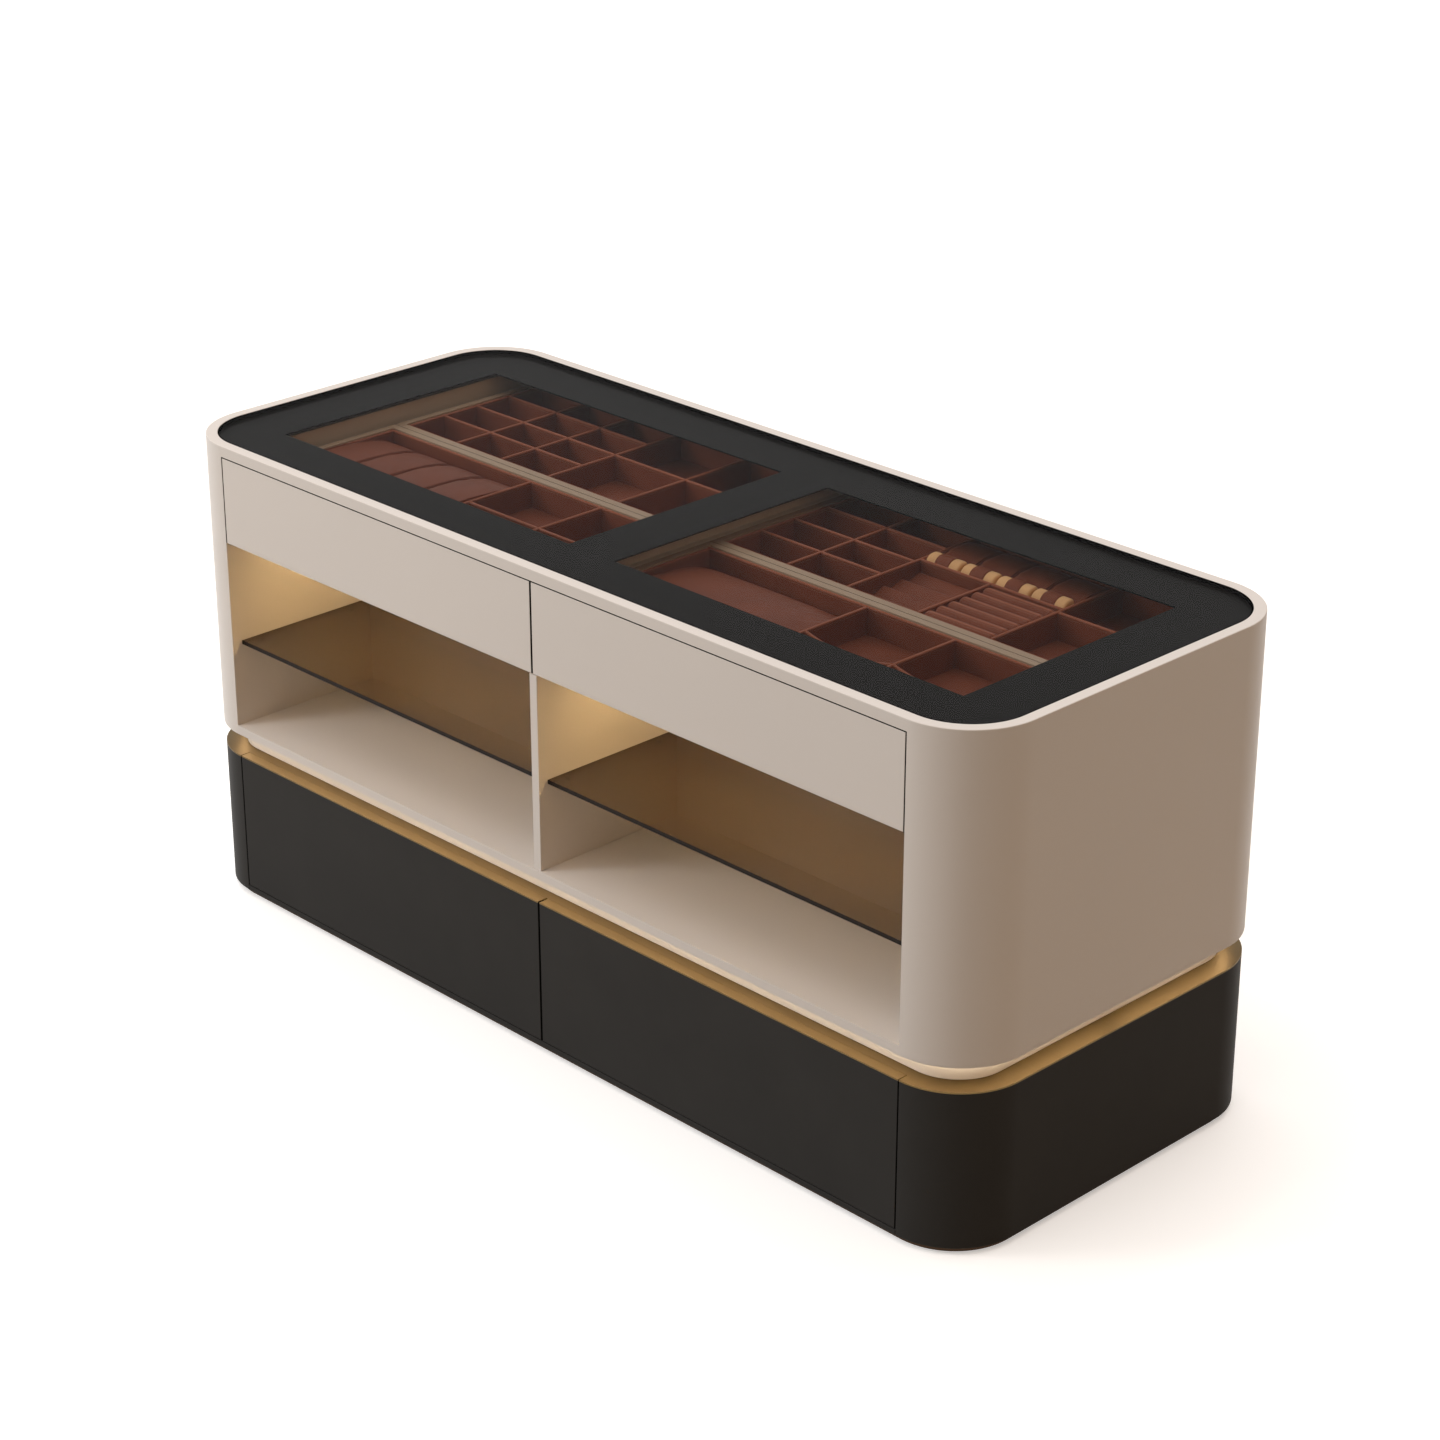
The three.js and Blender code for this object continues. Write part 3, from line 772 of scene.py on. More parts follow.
@dataclass(frozen=True)
class Leather(Finish):
    """Red-brown leather: pebbled grain, creases, darker pores, a painted highlight along the crests and rows
    of stitches.

    The stitches and the painted crest highlight follow the piece's own follow attribute: its first
    number is the distance along the piece, its second the distance from the crest or seam, and its
    third one where it is known.

    Attributes:
        crest_reach: How far from the crest the painted highlight fades out.
    """

    # crest: the colour of a painted highlight along the crests, where light would catch them.
    crest: Colour = (0.40, 0.13, 0.065)
    crest_reach: float = 4.5 * MM
    thread: Colour = (0.38, 0.15, 0.08)
    stitch_pitch: float = 4.2 * MM
    stitch_share: float = 0.64
    stitch_offset: float = 6.5 * MM
    thread_width: float = 0.45 * MM

    def sockets(self, graph: Graph, place: Value) -> Sockets:
        """Tone, pores, a painted highlight on the crests and thread in the colour; grain, creases and thread
        in the relief.
        """
        grain, creases = graph.cells(place, 620.0), graph.noise(place, 90.0, 4.0, 0.6)
        along, across, known = graph.parts(
            graph.node("ShaderNodeAttribute", {"attribute_name": "follow"}, {}, "Vector")
        )
        dash = (along / self.stitch_pitch).fraction() < self.stitch_share
        row = (across - self.stitch_offset).absolute() < self.thread_width
        thread = dash * row
        base = self.toned(graph.noise(place, 14.0, 4.0), 0.72, 1.25)
        base = graph.mix((1 - grain * 6.0) * 0.35 * creases, base, shade(self.colour, 0.4))
        # Painted highlight: the colour turns to the crest colour near a crest.
        crest_highlight = graph.math("MAXIMUM", 1 - across / self.crest_reach, 0.0) * known
        base = graph.mix(crest_highlight, base, self.crest)
        relief = graph.bump(grain * 2.0 + creases * 0.5, 0.18 * MM, 0.6)
        return {
            "Base Color": graph.mix(thread, base, self.thread),
            "Roughness": self.varied(creases, 0.25),
            "Specular IOR Level": 0.12,
            "Normal": graph.bump(thread, 0.3 * MM, 0.8, relief),
        }


@dataclass(frozen=True)
class Suede(Finish):
    """Tan suede of the watch cushions' supports: short nap that mottles the tone."""

    def sockets(self, graph: Graph, place: Value) -> Sockets:
        """Brushed patches in the colour, nap in the relief, and a faint sheen."""
        return {
            "Base Color": self.toned(graph.noise(place, 30.0, 3.0), 0.75, 1.15),
            "Roughness": self.roughness,
            "Specular IOR Level": 0.1,
            "Sheen Weight": 0.12,
            "Sheen Roughness": 0.4,
            "Normal": graph.bump(graph.noise(place, 900.0, 3.0, 0.7), 0.1 * MM, 0.5),
        }


@dataclass(frozen=True)
class Glass(Finish):
    """Tinted glass seen as a pane: a dark colour that lets part of the light through.

    Its alpha is how much of what lies behind is covered.
    """

    roughness: float = 0.04
    alpha: float = 0.5
    ior: float = 1.45

    def sockets(self, graph: Graph, place: Value) -> Sockets:
        """A faint smear in the gloss and a long wave in the relief."""
        return {
            "Base Color": self.colour,
            "Roughness": self.roughness + graph.noise(place, 11.0, 3.0) * 0.03,
            "Alpha": self.alpha,
            "IOR": self.ior,
            "Normal": graph.bump(graph.noise(place, 3.0, 1.0), 0.4 * MM, 0.15),
        }


@dataclass(frozen=True)
class Mottled(Finish):
    """A plain finish whose tone follows one fine noise, and its gloss and relief where they vary.

    Attributes:
        dulled: How much of the noise is added to the roughness.
    """

    scale: float = 300.0
    detail: float = 2.0
    tones: Span = (0.7, 1.3)
    dulled: float = 0.1
    specular: float = 0.5
    relief: float = 0.0

    def sockets(self, graph: Graph, place: Value) -> Sockets:
        """One noise in everything that varies."""
        grain = graph.noise(place, self.scale, self.detail)
        normal = {"Normal": graph.bump(grain, self.relief, 0.5)} if self.relief else {}
        return normal | {
            "Base Color": self.toned(grain, *self.tones),
            "Roughness": self.roughness + grain * self.dulled if self.dulled else self.roughness,
            "Specular IOR Level": self.specular,
        }


@dataclass(frozen=True)
class Diffuser(Finish):
    """Opal cover of a light bar, brighter in the middle of each diode's patch. Its colour is the light's."""

    strength: float = 1.0
    cover: Colour = (0.9, 0.86, 0.8)
    diodes: float = 60.0

    def sockets(self, graph: Graph, place: Value) -> Sockets:
        """Patches of light along the bar."""
        along, _, _ = graph.parts(place)
        patch = (along * self.diodes).fraction() - 0.5
        return {
            "Base Color": self.cover,
            "Roughness": self.roughness,
            "Emission Color": self.toned(patch.absolute() * 0.3, 1.0, 0.7),
            "Emission Strength": self.strength,
        }


@dataclass(frozen=True)
class Steel(Finish):
    """Zinc-plated steel or drawn aluminium, with fine upright lines."""

    def sockets(self, graph: Graph, place: Value) -> Sockets:
        """Lines in the colour and the gloss."""
        lines = graph.noise(graph.stretched(place, (80.0, 80.0, 1.0)), 20.0, 2.0)
        return {
            "Base Color": self.toned(lines, 0.85, 1.0),
            "Metallic": 1.0,
            "Roughness": self.varied(lines, 0.2),
        }


LACQUER = Lacquer("lacquer", "lacquer", (0.705, 0.655, 0.615), 0.4)
# The box board's taupe painted much lighter: painted light on trim that lies in the border's shade.
LIT_TRIM = Lacquer("trim_lacquer", "box_board", (0.88, 0.81, 0.72), 0.5)
BLACK = BlackCladding("black_cladding", "black_cladding", (0.042, 0.041, 0.040))
BRASS = Brass("brass", "brass", (0.156, 0.106, 0.0455), 0.48)
BRONZE = Brass("bronze", "bronze", (0.075, 0.045, 0.028), 0.5)
BOX_BOARD = BoxBoard("box_board", "box_board", (0.46, 0.335, 0.225), 0.42)
LEATHER = Leather("leather", "leather", (0.225, 0.062, 0.028), 0.46)
SUEDE = Suede("suede", "leather", (0.84, 0.50, 0.235), 0.9)
SHELF_GLASS = Glass("shelf_glass", "smoked_glass", (0.07, 0.042, 0.022), alpha=0.57, ior=1.25)
SHELF_EDGE = Mottled("ground_edge", "smoked_glass", (0.009, 0.006, 0.0045), scale=40.0, specular=0.1)
TOP_GLASS = Glass("top_glass", "top_glass", (0.004, 0.004, 0.0045), alpha=0.16, ior=1.13)
ENAMEL = Mottled(
    "black_border", "black_border", (0.014, 0.0128, 0.0118), 0.35,
    tones=(0.9, 1.1), dulled=0.05, specular=0.02,
)
NICHE_GLOW = Diffuser("niche_glow", "light_bar", (1.0, 0.68, 0.30), strength=48.0)
REVEAL_GLOW = Diffuser("reveal_glow", "light_bar", (1.0, 0.81, 0.58), strength=13.5)
# Near-black without any gloss: painted shadow in the gaps round the fronts, between the boxes and round the
# glass.
SHADOW_BLACK = Mottled("rubber", None, (0.002, 0.0018, 0.0016), 0.9, 160.0, 3.0, dulled=0.0, specular=0.0)
STEEL = Steel("steel", None, (0.55, 0.55, 0.56), 0.34)
ALUMINIUM = Steel("aluminium", None, (0.72, 0.72, 0.73), 0.4)
PLASTIC = Mottled(
    "driver_plastic", "driver_case", (0.68, 0.68, 0.66),
    scale=700.0, detail=3.0, tones=(0.94, 1.0), relief=0.08 * MM,
)


@dataclass
class Workshop:
    """Turns bodies into pieces of the island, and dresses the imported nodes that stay."""

    smooth_angle: float = math.radians(38)
    materials: dict[Finish, bpy.types.Material] = field(default_factory=dict)

    def material(self, finish: Finish) -> bpy.types.Material:
        """The material of a finish, made when it is first asked for."""
        if finish not in self.materials:
            self.materials[finish] = finish.build()
        return self.materials[finish]

    def piece(
        self,
        name: str,
        body: Body,
        finish: Finish,
        rider: str = "root",
        replaced: tuple[str, ...] = (),
        soft: bool = False,
    ) -> bpy.types.Object:
        """Makes a piece.

        Args:
            name: The piece's name.
            body: Its surface.
            finish: Its finish.
            rider: The body that it rides on.
            replaced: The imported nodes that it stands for.
            soft: True for a stuffed piece, which is smooth all over and subdivided once.

        Returns:
            The Blender object.
        """
        made = new_object(name, body.vertices, body.faces)
        mesh = made.data
        if body.follow is not None:
            attribute = mesh.attributes.new("follow", "FLOAT_VECTOR", "POINT")
            values = np.column_stack([body.follow, np.ones(len(body.follow))])
            attribute.data.foreach_set("vector", values.astype(np.float32).ravel())
        mesh.validate()
        mesh.shade_smooth()
        if soft:
            finer = made.modifiers.new("finer", "SUBSURF")
            finer.levels = finer.render_levels = 1
        else:
            mesh.set_sharp_from_angle(angle=self.smooth_angle)
            weighted = made.modifiers.new("weighted_normals", "WEIGHTED_NORMAL")
            weighted.keep_sharp = True
        mesh.materials.append(self.material(finish))
        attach(made, rider)
        if replaced:
            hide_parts(*replaced)
        log.info("%s: %d faces", name, len(body.faces))
        return made

    def dress(self, node: str, finish: Finish) -> None:
        """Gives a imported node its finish."""
        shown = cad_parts[node]
        shown.data.materials.clear()
        shown.data.materials.append(self.material(finish))
        log.info("%s: dressed", node)


@dataclass(frozen=True)
class Stuffing:
    """Fills a sewn skin: air pressure swells it as cloth, apart from the points where it is held.

    Attributes:
        voxel: The grid on which the skin is rebuilt before it is filled.
        reach: The furthest that a point may move.
        tiny: The length below which a move counts as none.
    """

    voxel: float = 4.5 * MM
    pressure: float = 4.0
    frames: int = 20
    reach: float = 5.0 * MM
    tiny: float = 0.003 * MM

    def fill(self, body: Body, held: Callable[[np.ndarray], np.ndarray], space: Box) -> Body:
        """Swells a body.

        Each point moves along its own way under the cloth, cut to the reach, and keeps to the box.

        Args:
            body: The sewn shape, a little smaller than the filled one.
            held: Tells which of some points, one row each, stay where they are.
            space: The box that the filled body keeps to.
        """
        scene = bpy.context.scene
        skin = self.rebuilt(body)
        start = self.points(skin.data)
        pinned = skin.vertex_groups.new(name="held")
        pinned.add(np.flatnonzero(held(start)).tolist(), 1.0, "REPLACE")
        cloth = skin.modifiers.new("cloth", "CLOTH")
        cloth.settings.vertex_group_mass = pinned.name
        cloth.settings.use_pressure = True
        cloth.settings.uniform_pressure_force = self.pressure
        cloth.settings.effector_weights.gravity = 0.0
        cloth.point_cache.frame_start, cloth.point_cache.frame_end = 1, self.frames
        for step in range(1, self.frames + 1):
            scene.frame_set(step)
        filled = skin.evaluated_get(bpy.context.evaluated_depsgraph_get())
        moved = self.points(filled.to_mesh()) - start
        filled.to_mesh_clear()
        length = np.maximum(np.linalg.norm(moved, axis=1, keepdims=True), self.tiny)
        most = float(np.quantile(length, 0.9)) / MM
        log.info("filled: %d points, 9 in 10 move under %.1f mm", len(start), most)
        points = start + moved * np.minimum(1.0, self.reach / length)
        corners = np.empty(len(skin.data.loops), np.int32)
        skin.data.loops.foreach_get("vertex_index", corners)
        bpy.data.objects.remove(skin)
        scene.frame_set(1)
        return Body(np.clip(points, space.low, space.high), corners.reshape(-1, 4).tolist()).outward()

    def rebuilt(self, body: Body) -> bpy.types.Object:
        """An object whose skin is the body's, rebuilt on an even grid of four-cornered faces."""
        skin = new_object("skin", body.vertices, body.faces)
        grid = skin.modifiers.new("grid", "REMESH")
        grid.mode, grid.voxel_size = "VOXEL", self.voxel
        whole = skin.evaluated_get(bpy.context.evaluated_depsgraph_get())
        skin.data = bpy.data.meshes.new_from_object(whole)
        skin.modifiers.remove(grid)
        return skin

    def points(self, mesh: bpy.types.Mesh) -> np.ndarray:
        """The mesh's points, one row each."""
        flat = np.empty(len(mesh.vertices) * 3)
        mesh.vertices.foreach_get("co", flat)
        return flat.reshape(-1, 3)


@dataclass(frozen=True)
class CasePlan:
    """The case seen from above, which the base, the rim, the seals and the glass follow."""

    corner: float = 137 * MM
    wall: float = 22 * MM
    arc_steps: int = 28

    @property
    def box(self) -> Box:
        """The box of the right-hand end column, which reaches the case's limits."""
        return Box.of("case_end_right")

    @property
    def opening(self) -> float:
        """The X where the openings end and the right-hand column begins."""
        return self.box.x[1] - self.corner

    @property
    def outline(self) -> Outline:
        """The outline of the whole case."""
        return self.within((-self.box.x[1], self.box.x[1]), self.box.y)

    def within(self, x: Span, y: Span) -> Outline:
        """A rectangle whose round corners have the same centres as the case's."""
        return filleted(rectangle(x, y), [self.radius(x[1])] * 4, self.arc_steps)

    def radius(self, reach: float) -> float:
        """The corner radius of what reaches only this far along the island."""
        return self.corner - (self.box.x[1] - reach)


PLAN = CasePlan()


@dataclass
class UpperCase:
    """The cream case: end columns, bottom board, the rim round the glass, partition and light driver."""

    shop: Workshop
    side_wall: float = 18 * MM
    ledge: float = 20 * MM
    rim_edge: float = 1.6 * MM
    inner_share: float = 0.5
    seam_edge: float = 0.6 * MM
    sharp: float = 0.05 * MM
    trim_inset: float = 1.5 * MM
    trim_gap: float = 0.8 * MM
    trim_height: float = 9 * MM
    trim_facing: float = 1.2 * MM
    trim_edge: float = 0.3 * MM
    facing_edge: float = 0.15 * MM

    def build(self) -> None:
        """Makes every piece of the case."""
        for hand in Hand:
            self.column(hand)
        self.bottom()
        self.rim()
        for node in ("niche_ceiling", "drawer_partition"):
            self.shop.dress(node, LACQUER)
        self.shop.dress("light_driver", PLASTIC)
        self.trim()

    def section(self, seam: float, inset: float = 0.0) -> Outline:
        """A column's section: two round outer corners, and two nearly sharp ones at the opening.

        Args:
            seam: The radius of the corners at the opening.
            inset: How far the section lies inside the case's outline. An inset one starts past its flat wall.

        Returns:
            The outline of the right-hand column.
        """
        centre = (PLAN.opening, PLAN.box.y[1] - PLAN.corner)
        flat = PLAN.opening + (self.side_wall if inset else 0.0)
        return column_section(flat, centre, PLAN.corner - inset, seam, PLAN.arc_steps)

    def column(self, hand: Hand) -> None:
        """One end column: a bent shell with a floor, closed by the rim on top."""
        tight, soft, hollow = (
            self.section(self.sharp), self.section(self.seam_edge), self.section(self.sharp, PLAN.wall)
        )
        under, floor, top = PLAN.box.z[0], Box.of("case_bottom").z[1], Box.of("top_rail_front").z[0]
        plans = [(self.section(self.sharp + d).inset(d), under + z) for d, z in zip(*quarter(self.seam_edge))]
        plans += [(tight.points, floor), (soft.points, floor + HAIRLINE), (soft.points, top)]
        plans += [(hollow.points, top), (hollow.points, floor)]
        body = stack([level_ring(plan, z) for plan, z in plans])
        body = body if hand is Hand.RIGHT else body.turned()
        name = f"case_end_{hand.label}"
        self.shop.piece(f"{name}_shell", body, LACQUER, replaced=(name,))

    def bottom(self) -> None:
        """The bottom board, whose round lower edges go on from the columns' without a seam."""
        box = Box.of("case_bottom")
        insets, rises = quarter(self.seam_edge)
        rear = np.column_stack([box.y[1] - insets, box.z[0] + rises])
        front = np.column_stack([box.y[0] + insets, box.z[0] + rises])
        section = np.concatenate([rear, [(box.y[1], box.z[1]), (box.y[0], box.z[1])], front[::-1]])
        rings = [np.column_stack([np.full(len(section), x), section]) for x in (-PLAN.opening, PLAN.opening)]
        self.shop.piece("case_bottom_board", stack(rings), LACQUER, replaced=("case_bottom",))

    def trim(self) -> None:
        """Trim at the partition: a strip level with the drawer boxes and a facing above it, in the box
        board's taupe painted much lighter to stand in for light that the border shades off.
        """
        partition, box = Box.of("drawer_partition"), Box.of("upper_box_front_right")
        inner, level = partition.x[1] + self.sharp, box.z[1]
        y = (partition.y[0] + self.trim_inset, partition.y[1] - self.trim_inset)
        strip = board((inner, box.x[0] - self.trim_gap), y, (level - self.trim_height, level), self.trim_edge)
        above = (level + HAIRLINE, partition.z[1] - self.trim_gap)
        facing = board((inner, inner + self.trim_facing), y, above, self.facing_edge)
        # Painted light: the trim's colour is far lighter than the box board it stands for.
        self.shop.piece("partition_trim", both_ways([strip, facing]), LIT_TRIM)

    def rim(self) -> None:
        """The top rim, one band round the whole case with a ledge for the glass."""
        low, high = Box.of("top_rail_front").z
        ledge_z, reach = Box.of("glass_border").z[0] - HAIRLINE, PLAN.wall + self.ledge
        inset, rise = quarter(self.rim_edge)
        outer = [(d, high - z) for d, z in zip(inset[::-1], rise[::-1])]
        inner = [(PLAN.wall - d * self.inner_share, high - z * self.inner_share) for d, z in zip(inset, rise)]
        profile = [(reach, low), (0.0, low), *outer, *inner, (PLAN.wall, ledge_z), (reach, ledge_z)]
        rails = ("top_rail_front", "top_rail_rear")
        self.shop.piece("top_rim", swept(PLAN.outline, profile), LACQUER, replaced=rails)


@dataclass
class GlassTop:
    """The smoked glass slab with a polished edge, and the black enamel border on its underside."""

    shop: Workshop
    joint: float = 1.9 * MM
    arris: float = 0.8 * MM
    window_corner: float = 1.5 * MM
    window_spacing: float = 114 * MM
    window_end_inset: float = 148 * MM
    window_side_inset: float = 140 * MM

    def build(self) -> None:
        """Makes the slab and the border."""
        slab, border, case = Box.of("glass_top"), Box.of("glass_border"), PLAN.box
        outline = PLAN.within(slab.x, slab.y)
        pane = Outline(outline.inset(self.joint), outline.normals)
        body = prism(pane, slab.z, (self.arris / 2, self.arris))
        self.shop.piece("glass_slab", body, TOP_GLASS, replaced=("glass_top",))
        half = case.y[1] - self.window_side_inset
        far, near = case.x[1] - self.window_end_inset, self.window_spacing / 2
        windows = [
            filleted(rectangle(x, (-half, half)), [self.window_corner] * 4, 3).points
            for x in ((-far, -near), (near, far))
        ]
        plate = windowed(outline.points, windows, border.z)
        self.shop.piece("enamel_border", plate, ENAMEL, replaced=("glass_border",))


@dataclass
class Niches:
    """The open niches: dividers, backs, smoked shelves on metal pins, and the light bars."""

    shop: Workshop
    edge: float = 1.0 * MM
    hidden_edge: float = 0.3 * MM
    side_edge: float = 0.25 * MM
    front_gap: float = 2.5 * MM
    shelf_edge: float = 0.5 * MM
    ground_depth: float = 0.9 * MM
    ground_edge: float = 0.27 * MM
    pin_radius: float = 3 * MM
    pin_fit: float = 0.1 * MM
    pin_reach: float = 9 * MM
    pin_inset: float = 45 * MM
    pin_edge: float = 0.5 * MM
    collar_reach: float = 1.2 * MM
    collar_width: float = 1.4 * MM
    collar_edge: float = 0.3 * MM

    def build(self) -> None:
        """Makes every piece of the four niches."""
        for side in Side:
            self.divider(side)
            self.shop.dress(f"niche_back_{side.label}", LACQUER)
            for hand in Hand:
                self.shelf(f"glass_shelf_{side.label}_{hand.label}", side)
                self.light(f"niche_light_{side.label}_{hand.label}")
        self.pins()

    def divider(self, side: Side) -> None:
        """A divider between two niches, stepped down in front below the drawer fronts."""
        (y0, y1), (z0, z1) = Box.of("niche_divider_front").y, Box.of("niche_divider_front").z
        front, half = Box.of("upper_front_front_left"), Box.of("drawer_partition").x[1]
        step_y, step_z = front.y[1] + self.front_gap, front.z[0] - self.front_gap
        corners = [(y0, z0), (y1, z0), (y1, z1), (step_y, z1), (step_y, step_z), (y0, step_z)]
        outline = filleted(corners, [self.hidden_edge] * 5 + [self.edge], 3)
        body = prism(outline, (-half, half), (self.side_edge, self.side_edge), Axis.X)
        body = body if side is Side.FRONT else body.turned()
        name = f"niche_divider_{side.label}"
        self.shop.piece(f"{name}_board", body, LACQUER, replaced=(name,))

    def shelf(self, node: str, side: Side) -> None:
        """A smoked glass shelf with polished edges and a dark ground edge in front."""
        box = Box.of(node)
        outer, back = box.y if side is Side.FRONT else box.y[::-1]
        inner = outer - side.value * self.ground_depth
        pane = board(box.x, ordered(inner, back), box.z, self.shelf_edge)
        self.shop.piece(f"{node}_pane", pane, SHELF_GLASS, replaced=(node,))
        edge = board(box.x, ordered(outer, inner), box.z, self.ground_edge)
        self.shop.piece(f"{node}_edge", edge, SHELF_EDGE)

    def light(self, node: str) -> None:
        """The straight light bar below the board over a niche."""
        box = Box.of(node)
        edge = Outline(np.array([(box.x[0], box.y[0]), (box.x[1], box.y[0])]), np.array([(0.0, -1.0)] * 2))
        LightBar(self.shop, node, edge, box.y[1] - box.y[0], NICHE_GLOW).build()

    def pins(self) -> None:
        """The metal pins that carry the shelves, each with a small collar at the wall."""
        shelf = Box.of("glass_shelf_front_right")
        z = shelf.z[0] - HAIRLINE - self.pin_radius
        rows = (-shelf.y[0] - self.pin_inset, self.pin_inset - shelf.y[1])
        walls = ((PLAN.opening, -1), (Box.of("drawer_partition").x[1], 1))
        parts = (
            (self.pin_radius - self.pin_fit, self.pin_reach, self.pin_edge),
            (self.pin_radius + self.collar_width, self.collar_reach, self.collar_edge),
        )
        bodies = []
        for row, side, (wall, way), hand, (radius, reach, edge) in product(rows, Side, walls, Hand, parts):
            span = ordered(hand.value * wall, hand.value * (wall + way * reach))
            bodies.append(prism(disc((row * side.value, z), radius), span, (edge, edge), Axis.X))
        self.shop.piece("shelf_pins", joined(bodies), STEEL)


@dataclass
class LightBar:
    """A light bar: an aluminium channel with end caps round an opal cover, open at its underside.

    Its path is its outer edge in plan, from end to end.
    """

    shop: Workshop
    node: str
    path: Outline
    width: float
    glow: Finish
    wall: float = 1.2 * MM
    cap: float = 1.8 * MM
    wall_edge: float = 0.24 * MM
    cap_edge: float = 0.3 * MM
    recess: float = 0.4 * MM
    side_gap: float = 0.1 * MM

    def build(self) -> None:
        """Makes the channel with its caps, and the cover."""
        (low, high), wall, width = Box.of(self.node).z, self.wall, self.width
        corners = [
            (0.0, low), (wall, low), (wall, high - wall), (width - wall, high - wall),
            (width - wall, low), (width, low), (width, high), (0.0, high),
        ]
        section = filleted(corners, [self.wall_edge] * 8, 2).points
        solid = filleted(rectangle((0.0, width), (low, high)), [self.cap_edge] * 4, 2).points
        between = self.shortened()
        caps = [railed(self.end(where), solid) for where in (0, -1)]
        self.shop.piece(f"{self.node}_channel", joined([railed(between, section), *caps]), ALUMINIUM)
        inside = (wall + self.side_gap, width - wall - self.side_gap)
        level = (low + self.recess, high - wall - self.recess)
        opal = filleted(rectangle(inside, level), [self.recess] * 4, 3).points
        self.shop.piece(f"{self.node}_cover", railed(between, opal), self.glow, replaced=(self.node,))

    def shortened(self) -> Outline:
        """The path without the stretch that the caps take at each end."""
        points = self.path.points.copy()
        for where, following in ((0, 1), (-1, -2)):
            ahead = points[following] - points[where]
            points[where] += ahead / np.linalg.norm(ahead) * self.cap
        return Outline(points, self.path.normals)

    def end(self, where: int) -> Outline:
        """The stretch of the path that one cap takes."""
        stretch = np.array([self.path.points[where], self.shortened().points[where]])
        return Outline(stretch, np.repeat(self.path.normals[[where]], 2, axis=0))


@dataclass
class Seals:
    """Near-black strips that paint shadow into the joints round the drawer fronts and the glass, and between
    the drawers.

    Attributes:
        face_shares: Places across the joint round the glass, as shares of its width.
        face_drops: How far its face lies below the glass at each of them.
    """

    shop: Workshop
    clearance: float = 0.15 * MM
    fit: float = 0.05 * MM
    depth: float = 13 * MM
    recess: float = 0.15 * MM
    strip_edge: float = 0.2 * MM
    deck_gap: float = 2.6 * MM
    joint: float = 2.2 * MM
    face_shares: tuple[float, ...] = (0.0, 0.25, 0.5, 0.75, 1.0)
    face_drops: tuple[float, ...] = (0.5 * MM, 1.0 * MM, 1.15 * MM, 1.0 * MM, 0.8 * MM)
    stop_half: float = 0.75 * MM
    stop_gap: float = 0.5 * MM
    stop_edge: float = 0.225 * MM

    def build(self) -> None:
        """Makes the painted-shadow strips of both long sides, the panels between the drawer boxes and the
        joint round the glass.
        """
        strips = self.around("upper_front_front_right", Box.of("top_rail_front").z[0])
        strips += self.around("lower_front_front_right", None)
        # Painted shadow: near-black strips fill the gaps round the fronts.
        self.shop.piece("dust_seals", both_ways(strips), SHADOW_BLACK)
        self.stops()
        self.glass_joint()

    def stops(self) -> None:
        """Thin near-black panels in the gap between the front and the rear drawer boxes, one in each half:
        painted shadow of that gap.
        """
        partition, box = Box.of("drawer_partition"), Box.of("upper_box_front_right")
        x = (partition.x[1] + self.stop_gap, box.x[1] + self.stop_gap)
        z = (partition.z[0], box.z[1] - self.stop_gap)
        right = board(x, (-self.stop_half, self.stop_half), z, self.stop_edge)
        # Painted shadow: a near-black panel fills the gap between the boxes.
        self.shop.piece("drawer_stops", both_ways([right]), SHADOW_BLACK)

    def around(self, front: str, rail: float | None) -> list[Body]:
        """The near-black strips beside and between the two fronts of a row, and below the rail if there is
        one, which paint the shadow of those gaps.

        Args:
            front: The node of the right-hand front.
            rail: The rail's underside.

        Returns:
            The strips on the front side.
        """
        box, wall = Box.of(front), PLAN.opening
        y = (box.y[0] + self.recess, box.y[0] + self.recess + self.depth)
        top = box.z[1] + (self.clearance if rail else self.deck_gap)
        z = (box.z[0] + self.recess, top)
        beside = (box.x[1] + self.clearance, wall - self.fit)
        between = (self.clearance - box.x[0], box.x[0] - self.clearance)
        spans = [beside, (-beside[1], -beside[0]), between]
        strips = [board(span, y, z, self.strip_edge) for span in spans]
        if rail:
            strips.append(board((-wall, wall), y, (top, rail - self.fit), self.strip_edge))
        return strips

    def glass_joint(self) -> None:
        """The joint round the glass: a near-black ring with a hollow face, a little below the top, which
        paints a shadow line round the glass.
        """
        low, high = Box.of("glass_top").z
        inset = PLAN.wall + HAIRLINE / 3
        face = zip(self.face_shares, self.face_drops)
        profile = [(inset + self.joint, low + HAIRLINE), (inset, low + HAIRLINE)]
        profile += [(inset + share * self.joint, high - drop) for share, drop in face]
        # Painted shadow: a near-black ring in the joint round the glass.
        self.shop.piece("glass_joint", swept(PLAN.outline, profile), SHADOW_BLACK)


